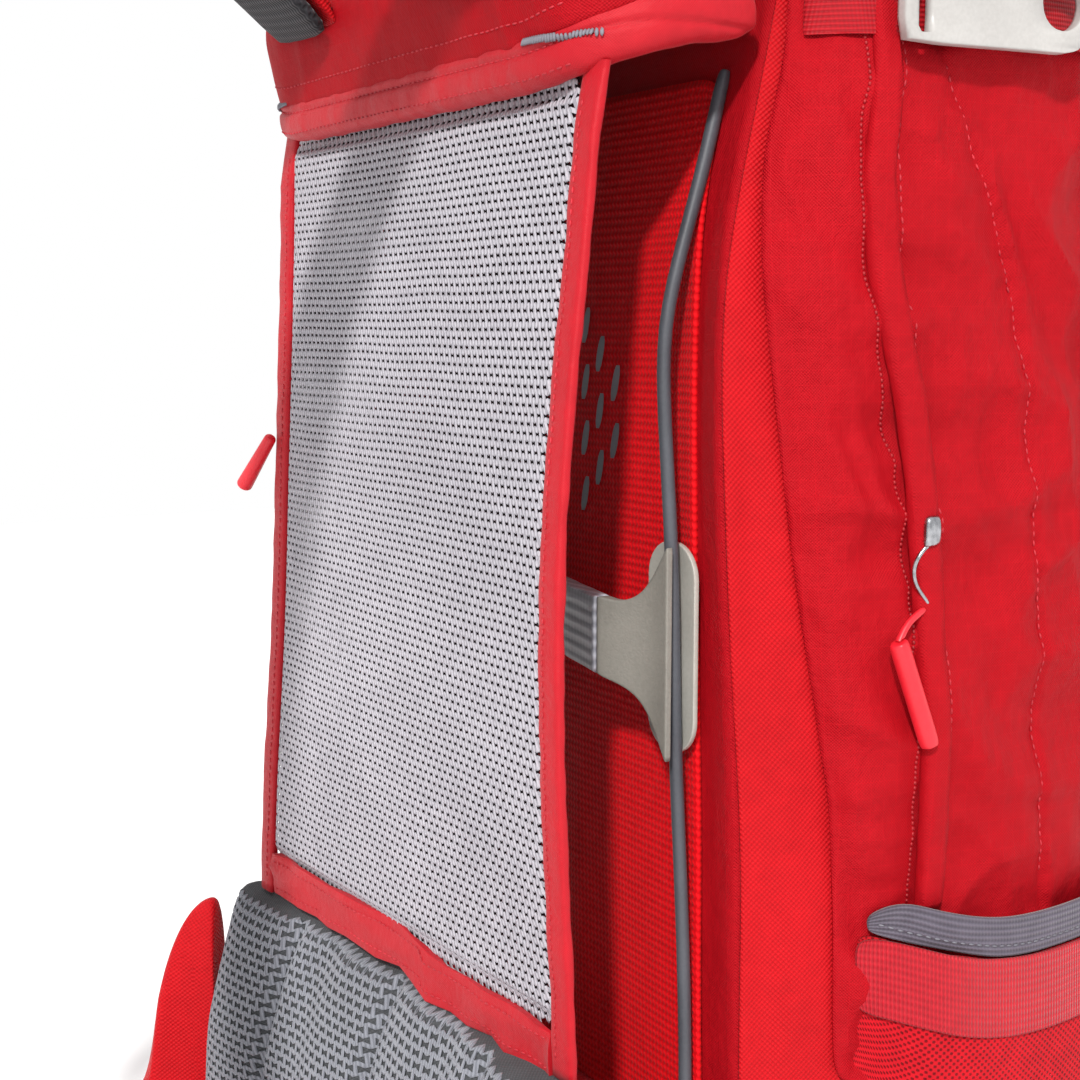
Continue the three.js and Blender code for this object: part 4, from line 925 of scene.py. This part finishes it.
def makeMeshBack():
    low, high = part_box("mesh_panel")
    edge, underHem, underRibbon, spare = (netLook[key] for key in ("tuck", "underHem", "underRibbon", "spare"))
    rows = planeRows("mesh_panel", 0.1 * mm, 4, 13)
    for row in rows:  # its edges run on under the bindings, the hem and the ribbon
        row[0].x -= edge + spare
        row[-1].x += edge + spare
    for spot in rows[0]:
        spot.z -= underRibbon + spare
    for spot in rows[-1]:
        spot.z += underHem + spare
    base = gridFrom(rows, "meshForm")
    subdivide(base, 2)
    tree = surfaceOf(base)
    bpy.data.objects.remove(base)

    def drift(spot):
        away = Vector((noise.noise(spot * 30), 0, noise.noise(spot * 26 + Vector((5, 0, 0)))))
        return away * netLook["drift"]
    used = netLook["used"]
    net = netPiece("mesh_net", "mesh_panel", tree, (low.x - edge * used, low.z - underRibbon * used),
                   (high.x + edge * used, high.z + underHem * used), netLook, "greyNet", warp=drift)
    # back is the painted-shade sheet: dark cloth behind the net, standing in for the shade in the gap
    back = netPiece("mesh_net_shade", None, tree, (low.x, low.z - netShadeLook["underRibbon"]),
                    (high.x, high.z + netShadeLook["underHem"]), netShadeLook, "netShade", wall=False)

    def sink(place, normal):
        # the border lies back, so that the bindings, the ribbon and the hem cover it
        near = min(high.x + 1 * mm - abs(place.x), place.z - low.z - 1 * mm, high.z - 2 * mm - place.z)
        return Vector((0, netLook["sink"] * clamp(1 - near / netLook["sinkFade"]), 0))
    moveBy(net, sink)
    moveBy(back, sink)
    for side, _ in sides:
        rounded("mesh_binding_" + side, "mesh_edge_" + side, "redBinding", levels=3, crease=0.3,
                sharp=80, ends=2, fit=True, ripple=bindingRule)
    rounded("mesh_ribbon", "mesh_foot_ribbon", "redBinding", levels=4, crease=0.8, fit=True,
            ripple=ribbonRule)


shell, hem = makeYoke()
makeMeshBack()
print("yoke and mesh back made")

# frame wires, bar and clips

clipLook = {"corner": 12.5 * mm, "rim": 2.6 * mm, "recess": 0.9 * mm, "thick": 2.2 * mm, "edge": 0.5 * mm}
wingLook = {"shift": 9 * mm, "root": 73.8 * mm, "tip": 110 * mm, "middle": 0.304, "waist": 0.34}
barLook = {"longer": 9 * mm, "from": 0.055, "over": 0.0185}


def clipPlate(side):
    # long oval plate behind the wire, with a raised rim
    node = "back_clip_" + side
    low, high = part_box(node)
    bm = bmesh.new()
    bmesh.ops.create_grid(bm, x_segments=1, y_segments=1, size=0.5)
    bmesh.ops.scale(bm, vec=(high.x - low.x, high.z - low.z, 1), verts=bm.verts)
    bmesh.ops.bevel(bm, geom=bm.verts[:], affect="VERTICES", offset=clipLook["corner"], segments=8, profile=0.5,
                    material=-1)
    bmesh.ops.rotate(bm, verts=bm.verts, matrix=Matrix.Rotation(math.pi / 2, 3, "X"))
    front = bm.faces[:]
    grown = bmesh.ops.extrude_face_region(bm, geom=front)["geom"]
    grown = [v for v in grown if isinstance(v, bmesh.types.BMVert)]
    bmesh.ops.translate(bm, vec=(0, clipLook["thick"], 0), verts=grown)
    bmesh.ops.translate(bm, vec=(low + high) / 2 - Vector((0, clipLook["thick"] / 2, 0)), verts=bm.verts)
    bmesh.ops.recalc_face_normals(bm, faces=bm.faces)
    face = [f for f in bm.faces if f.normal.y < -0.9]
    bmesh.ops.inset_region(bm, faces=face, thickness=clipLook["rim"])
    bmesh.ops.translate(bm, vec=(0, clipLook["recess"], 0), verts=list({v for f in face for v in f.verts}))
    edges = [e for e in bm.edges if len(e.link_faces) == 2 and e.calc_face_angle(0) > math.radians(50)]
    bmesh.ops.bevel(bm, geom=edges, affect="EDGES", offset=clipLook["edge"], segments=2, profile=0.5,
                    material=-1)
    made = objectFrom(bm, "clip_plate_" + side)
    boxMap(made)
    return dressed(made, node, "clipPlastic")


def wingRule(place, normal):
    # shorter at its root, and flared in a curve towards the wire
    share = max(0.0, (wingLook["tip"] - abs(place.x)) / (wingLook["tip"] - wingLook["root"]))
    narrow = wingLook["waist"] * math.sin(math.pi * min(1.0, share)) ** 1.2
    return Vector((math.copysign(wingLook["shift"] * share, place.x), 0, (wingLook["middle"] - place.z) * narrow))


def barRule(place, normal):
    # its ends reach the wings' shortened roots
    share = max(0.0, abs(place.x) - barLook["from"]) / barLook["over"]
    return Vector((math.copysign(barLook["longer"], place.x) * share, 0, 0))


def makeFrameParts():
    for side, _ in sides:
        rounded("frame_wire_" + side, "wire_" + side, "sheath", levels=2, crease=0.0, sharp=80)
        rounded("wing_clip_" + side, "wing_" + side, "wingGrey", levels=3, crease=0.55, sharp=40,
                fit=True, ripple=wingRule)
        clipPlate(side)
    rounded("spreader_bar", "spreader", "barWebbing", levels=3, crease=0.7, sharp=40, ends=0,
            ripple=barRule)


# loin pad and belt

padLook = {"channel": 0.078, "channelDepth": 6 * mm, "channelWidth": 4.5 * mm, "puff": 3.5 * mm,
           "voxel": 5 * mm, "swell": 2.5 * mm, "cell": (5.6 * mm, 3.6 * mm), "hole": (4.1 * mm, 2.4 * mm),
           "lean": 0.25, "thickness": 0.6 * mm, "lift": 0.9 * mm}
beltLook = {"droop": 21 * mm, "share": 0.55, "from": 0.205, "over": 0.07, "fold": 0.8 * mm, "size": 0.06}
shelfLook = {"fold": 0.6 * mm, "size": 0.05}


def swollen(thing, voxel, swell, frames=14, pressure=4.0):
    # blows a closed form up a little as cloth, each point held within a distance of where it was
    remesh = thing.modifiers.new("voxels", "REMESH")
    remesh.mode = "VOXEL"
    remesh.voxel_size = voxel
    settle(thing)
    start = [v.co.copy() for v in thing.data.vertices]
    cloth = thing.modifiers.new("cloth", "CLOTH")
    cloth.settings.use_pressure = True
    cloth.settings.uniform_pressure_force = pressure
    cloth.settings.quality = 4
    cloth.settings.effector_weights.gravity = 0
    scene = bpy.context.scene
    for step in range(1, frames + 1):
        scene.frame_set(step)
    settle(thing)
    scene.frame_set(1)
    for vertex, old in zip(thing.data.vertices, start):
        move = vertex.co - old
        if move.length > swell:
            vertex.co = old + move.normalized() * swell
    return thing


def channelRule(place, normal):
    # grooves down the middle and near the ends, puffed out between them
    cut = sum(hump(abs(place.x) - c, padLook["channelWidth"]) for c in (0, padLook["channel"]))
    swell = abs(math.sin(place.x / padLook["channel"] * math.pi))
    front = max(0.0, -normal.y)
    return Vector((0, 1, 0)) * (cut * padLook["channelDepth"] - swell * padLook["puff"]) * front


def beltRule(place, normal):
    # the belt's forward part hangs lower than its solids
    depth = min(beltLook["droop"], place.z * beltLook["share"])  # the lower edge stays above the floor
    return Vector((0, 0, -depth * smooth((-place.y - beltLook["from"]) / beltLook["over"])))


def finRule(place, normal):
    fold = (crumple(place, (1, 1, 1), beltLook["size"], 9.0) - 0.6) * beltLook["fold"]
    return beltRule(place, normal) + normal * fold


def shelfRule(place, normal):
    return normal * (crumple(place, (1, 1, 0.6), shelfLook["size"], 8.0) - 0.6) * shelfLook["fold"]


def makePads():
    bm = nodeMesh("loin_pad")
    pad = objectFrom(bm, "loin_pad_form")
    swollen(pad, padLook["voxel"], padLook["swell"])
    subdivide(pad, 1)
    moveBy(pad, channelRule)
    boxMap(pad)
    dressed(pad, "loin_pad", "padCore")
    low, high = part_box("loin_pad")
    tree = surfaceOf(pad)
    netPiece("loin_pad_net", None, tree, (low.x + 1 * mm, low.z + 2 * mm), (high.x - 1 * mm, high.z - 0.2 * mm),
             padLook, "padNet")
    rounded("loin_shelf", "shelf_block", "packCloth", levels=2, crease=0.7,
            ripple=shelfRule)
    for side, _ in sides:
        rounded("hip_fin_" + side, "hip_pad_" + side, "packCloth", levels=3, crease=0.25, sharp=60,
                ripple=finRule)
        rounded("belt_webbing_" + side, "belt_strap_" + side, "redWebbing", levels=2, crease=0.9,
                ripple=beltRule)
    rounded("belt_buckle", "belt_clasp", "palePlastic", levels=2, crease=0.7, sharp=30,
            ripple=beltRule)


markLook = {"columns": 3, "wide": 4.2 * mm, "tall": 13 * mm, "lean": 3 * mm, "pitch": (10 * mm, 21 * mm),
            "low": (34 * mm, 352 * mm), "lift": 0.25 * mm}


def makeMarks():
    # plain grey printed dashes on the back wall
    tree = surfaceOf(backWall)
    bm = bmesh.new()
    for i in range(markLook["columns"]):
        for j in range(4 - i):
            cx = markLook["low"][0] + i * markLook["pitch"][0]
            cz = markLook["low"][1] + (j + i * 0.5) * markLook["pitch"][1]
            made = bmesh.ops.create_grid(bm, x_segments=3, y_segments=8, size=0.5)["verts"]
            for vertex in made:
                u, v = vertex.co.x, vertex.co.y
                x = cx + u * markLook["wide"] * (1 - 0.5 * abs(2 * v) ** 3) + v * markLook["lean"]
                z = cz + v * markLook["tall"]
                hit = tree.ray_cast(Vector((x, castReach["back"], z)), ahead, castReach["backDepth"])[0]
                vertex.co = hit - Vector((0, markLook["lift"], 0))
    made = objectFrom(bm, "back_wall_marks")
    faceOut(made, lambda place: behind)
    boxMap(made)
    return dressed(made, None, "printGrey")


makeMarks()
makeFrameParts()
makePads()
print("frame parts, pads and belt made")

# harness, side details and lid

strapLook = {"sag": 17 * mm, "from": -0.376, "over": 0.06}


def slackRule(place, normal):
    # the webbing sags below the straight line from the strap to the belt
    return Vector((0, 0, -strapLook["sag"] * smooth((place.y - strapLook["from"]) / strapLook["over"])))


def makeHarness():
    for side, _ in sides:
        rounded("shoulder_strap_" + side, "strap_top_" + side, "packCloth", levels=2, crease=0.3,
                sharp=60)
        rounded("strap_lining_" + side, "strap_under_" + side, "darkLining", levels=2, crease=0.3,
                sharp=60)
        rounded("strap_webbing_" + side, "strap_tail_" + side, "redWebbing", levels=2, crease=0.9,
                ripple=slackRule)
        rounded("ladder_lock_" + side, "ladder_" + side, "palePlastic", levels=2, crease=0.8,
                sharp=30)
    rounded("haul_loop", "haul_strap", "redWebbing", levels=3, crease=0.8)


flapLook = {"stand": 2.6 * mm, "gather": 1.1 * mm, "grain": 0.3 * mm}
bottleLook = {"fold": 1.4 * mm, "size": 0.04,
              "margin": 0.3 * mm, "steps": 1, "columns": 12, "wall": 1 * mm, "fade": 9 * mm, "rows": 8}
elasticLook = {"margin": 0.2 * mm, "steps": 1, "columns": 14, "wall": 2.2 * mm, "rows": 2}
bandLook = {"margin": 0.2 * mm, "steps": 1, "columns": 14, "wall": 1.4 * mm, "rows": 3}


def flapRule(place, normal):
    # a fold that stands up from the pocket, gathered along its seam
    out = Vector((1 if place.x > 0 else -1, 0, 0))
    stand = max(0.0, normal.dot(out))
    gather = noise.noise(Vector((0, place.y * 60, place.z * 90)))
    grain = normal * noise.noise(place * 120) * flapLook["grain"]
    return out * stand * (flapLook["stand"] + gather * flapLook["gather"]) + grain


def bottleRule(place):
    return (crumple(place, (1, 1, 0.6), bottleLook["size"], 11.0) - 0.5) * bottleLook["fold"]


edgePull = {"root": (-118.5 * mm, -170 * mm, 367 * mm), "tip": (-139 * mm, -175 * mm, 344 * mm),
            "thin": 2.592 * mm, "thick": 3.6 * mm, "round": 1.6 * mm}


def makeEdgePull():
    # short rubber pull that stands out from the far binding
    root, tip = Vector(edgePull["root"]), Vector(edgePull["tip"])
    bm = bmesh.new()
    bmesh.ops.create_cone(bm, cap_ends=True, segments=24, radius1=edgePull["thin"], radius2=edgePull["thick"],
                          depth=(tip - root).length)
    caps = [e for e in bm.edges if e.calc_face_angle(0) > math.radians(60)]
    bmesh.ops.bevel(bm, geom=caps, affect="EDGES", offset=edgePull["round"], segments=5, profile=0.5, material=-1)
    bmesh.ops.rotate(bm, verts=bm.verts, matrix=(tip - root).to_track_quat("Z", "Y").to_matrix())
    bmesh.ops.translate(bm, verts=bm.verts, vec=(root + tip) / 2)
    dressed(objectFrom(bm, "edge_pull"), None, "redRubber")


def makeSideDetails():
    wallPair("bottle_pocket", "bottle_cloth", "pocketMesh", bottleLook, bottleRule)
    wallPair("pocket_binding", "pocket_elastic", "greyElastic", elasticLook)
    wallPair("pocket_tape", "pocket_band", "ribbedTape", bandLook)
    for side, _ in sides:
        rounded("zip_flap_" + side, "zip_cover_" + side, "ripstop", levels=2, crease=0.3,
                ripple=flapRule)
        rounded("zip_slider_" + side, "zip_ring_" + side, "polishedSteel", levels=2, crease=0.2, sharp=60)
        rounded("pull_cord_" + side, "pull_string_" + side, "redRubber", levels=2, crease=0.0, sharp=80)
        rounded("pull_tube_" + side, "pull_grip_" + side, "redRubber", levels=3, crease=0.35, sharp=60)
        rounded("lower_strap_" + side, "low_strap_" + side, "redWebbing", levels=2, crease=0.9)
        rounded("upper_strap_" + side, "high_strap_" + side, "redWebbing", levels=2, crease=0.9)
        rounded("strap_buckle_" + side, "side_buckle_" + side, "palePlastic", levels=2, crease=0.6,
                sharp=30)


lidLook = {"fold": 2.2 * mm, "size": 0.05, "middle": 0.56}


def lidRule(place, normal):
    fold = crumple(place, (1, 1, 0.7), lidLook["size"], 12.0) - 0.55
    out = Vector((place.x, place.y, (place.z - lidLook["middle"]) * 1.2)).normalized()
    return out * fold * lidLook["fold"]


def makeLid():
    rounded("lid", "lid_shell", "ripstop", levels=3, crease=0.8, sharp=60, ripple=lidRule)
    rounded("lid_strap", "lid_webbing", "redWebbing", levels=2, crease=0.9)
    rounded("lid_buckle", "lid_clasp", "palePlastic", levels=3, crease=0.7, sharp=30)


makeHarness()
makeEdgePull()
makeSideDetails()
makeLid()
print("harness, side details and lid made")

# seams

# where stitch rows lie, from the edge that they follow
seamLook = {"binding": 4.2 * mm, "flap": 2.4 * mm, "teeth": -10.6 * mm, "elastic": 3.6 * mm, "hemHalf": 0.112,
            "flapFrom": -0.09, "flapElse": -0.05}
teethLook = {"length": 1.5 * mm, "gap": 0.4 * mm, "radius": 0.65 * mm}
tackLook = {"near": 0.106, "far": -0.112, "rise": 12 * mm, "threads": 26, "long": 30 * mm, "tall": 3.2 * mm,
            "wide": 0.75 * mm, "thick": 0.7 * mm}


def sideRun(tree, sign, line, low, high, name, **more):
    # stitches up the bag's side: line(z) is how far forward they lie
    spots = [Vector((castReach["seat"] * sign, line(z), z)) for z in levels(low, high, 120)]
    seatedRun(spots, Vector((-sign, 0, 0)), tree, name, **more)


def makeSeams():
    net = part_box("mesh_panel")
    for side, sign in sides:
        tree = surfaceOf(bpy.data.objects["mesh_edge_" + side])
        x = sign * (net[1].x + seamLook["binding"])
        spots = [Vector((x, -0.4, z)) for z in levels(net[0].z - 0.012, net[1].z - 0.004, 90)]
        seatedRun(spots, ahead, tree, "mesh_edge_stitch_" + side)
        inward = Vector((-sign, 0, 0))
        cloth = surfaceOf(bpy.data.objects["pocket_cloth_" + side])
        flapLow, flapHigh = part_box("zip_flap_" + side)
        cover = treeOf("zip_flap_" + side)

        def flapLine(z):
            # the strip's front edge at a height
            hits = [y for y in (seamLook["flapFrom"] + k * mm for k in range(90))
                    if cover.ray_cast(Vector((castReach["seat"] * sign, y, z)), inward,
                                      castReach["seatDepth"])[0] is not None]
            return hits[-1] if hits else seamLook["flapElse"]
        heights = levels(flapLow.z + 2 * mm, flapHigh.z - 2 * mm, 30)
        front = [flapLine(z) for z in heights]

        def alongFlap(z, shift):
            k = (z - heights[0]) / (heights[-1] - heights[0]) * 30
            i = min(29, max(0, int(k)))
            return front[i] + (front[i + 1] - front[i]) * clamp(k - i) + shift
        sideRun(cloth, sign, lambda z: alongFlap(z, seamLook["flap"]), heights[0], heights[-1], "flap_stitch_" + side,
                slot="ripstop")
        sideRun(cloth, sign, lambda z: alongFlap(z, seamLook["teeth"]), heights[0], heights[-1], "zip_teeth_" + side,
                slot="ripstop", material="zipTeeth", look=teethLook)
        sideRun(cloth, sign, seamLine, pocketSeam[0][0], seamTop, "pocket_seam_" + side, slot="ripstop")
        elastic = surfaceOf(bpy.data.objects["pocket_elastic_" + side])
        low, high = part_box("pocket_binding_" + side)
        spots = []
        for y in levels(low.y + 3 * mm, high.y - 3 * mm, 60):
            column = [elastic.ray_cast(Vector((castReach["seat"] * sign, y, low.z + k * 0.5 * mm)), inward,
                                       castReach["seatDepth"])[0] for k in range(int((high.z - low.z) / (0.5 * mm)))]
            column = [c for c in column if c is not None]
            if column:
                spots.append(Vector((castReach["seat"] * sign, y, column[0].z + seamLook["elastic"])))
        seatedRun(spots, inward, elastic, "elastic_stitch_" + side, material="greyThread",
                  slot="grey_elastic")
    ribbon = surfaceOf(bpy.data.objects["mesh_foot_ribbon"])
    low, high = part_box("mesh_ribbon")
    for share, name in ((0.2, "low"), (0.8, "high")):
        z = low.z + (high.z - low.z) * share
        spots = [Vector((x, -0.4, z - (ribbonLook["drop"] if x > ribbonLook["step"] else 0) + 1 * mm))
                 for x in levels(low.x + 2 * mm, high.x - 2 * mm, 120)]
        seatedRun(spots, ahead, ribbon, "ribbon_stitch_" + name)
    roll = surfaceOf(hem)
    wall = surfaceOf(shell)
    low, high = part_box("yoke_hem")
    for tree, rise, name in ((roll, 2.4 * mm, "low"), (roll, 10.5 * mm, "middle"), (wall, 20.5 * mm, "high")):
        spots = [Vector((x, -0.4, low.z + hemRise(x) + rise))
                 for x in ((k / 60 - 1) * seamLook["hemHalf"] for k in range(121))]
        seatedRun(spots, ahead, tree, "hem_stitch_" + name, slot="ripstop")


def makeTacks():
    # dense bars of grey thread at the hem's ends
    roll = surfaceOf(hem)
    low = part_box("yoke_hem")[0]
    count = tackLook["threads"]
    for name in ("near", "far"):
        bm = bmesh.new()
        x = tackLook[name]
        z = low.z + hemRise(x) + tackLook["rise"]
        for k in range(count):
            spot = Vector((x + (k / (count - 1) - 0.5) * tackLook["long"], -castReach["seatDepth"], z))
            hit, normal, _, _ = roll.ray_cast(spot, ahead, castReach["backDepth"])
            if hit is None:
                continue
            side = normal.cross(Vector((0, 0, 1))).normalized()
            up = side.cross(normal).normalized()
            made = bmesh.ops.create_icosphere(bm, subdivisions=1, radius=1)["verts"]
            turn = Matrix((side * tackLook["wide"], up * tackLook["tall"] / 2, normal * tackLook["thick"]))
            middle = Matrix.Translation(hit + normal * tackLook["thick"])
            bmesh.ops.transform(bm, matrix=middle @ turn.transposed().to_4x4(), verts=made)
        dressed(objectFrom(bm, "hem_tack_" + name), None, "greyThread")


makeSeams()
makeTacks()
print("seams made")
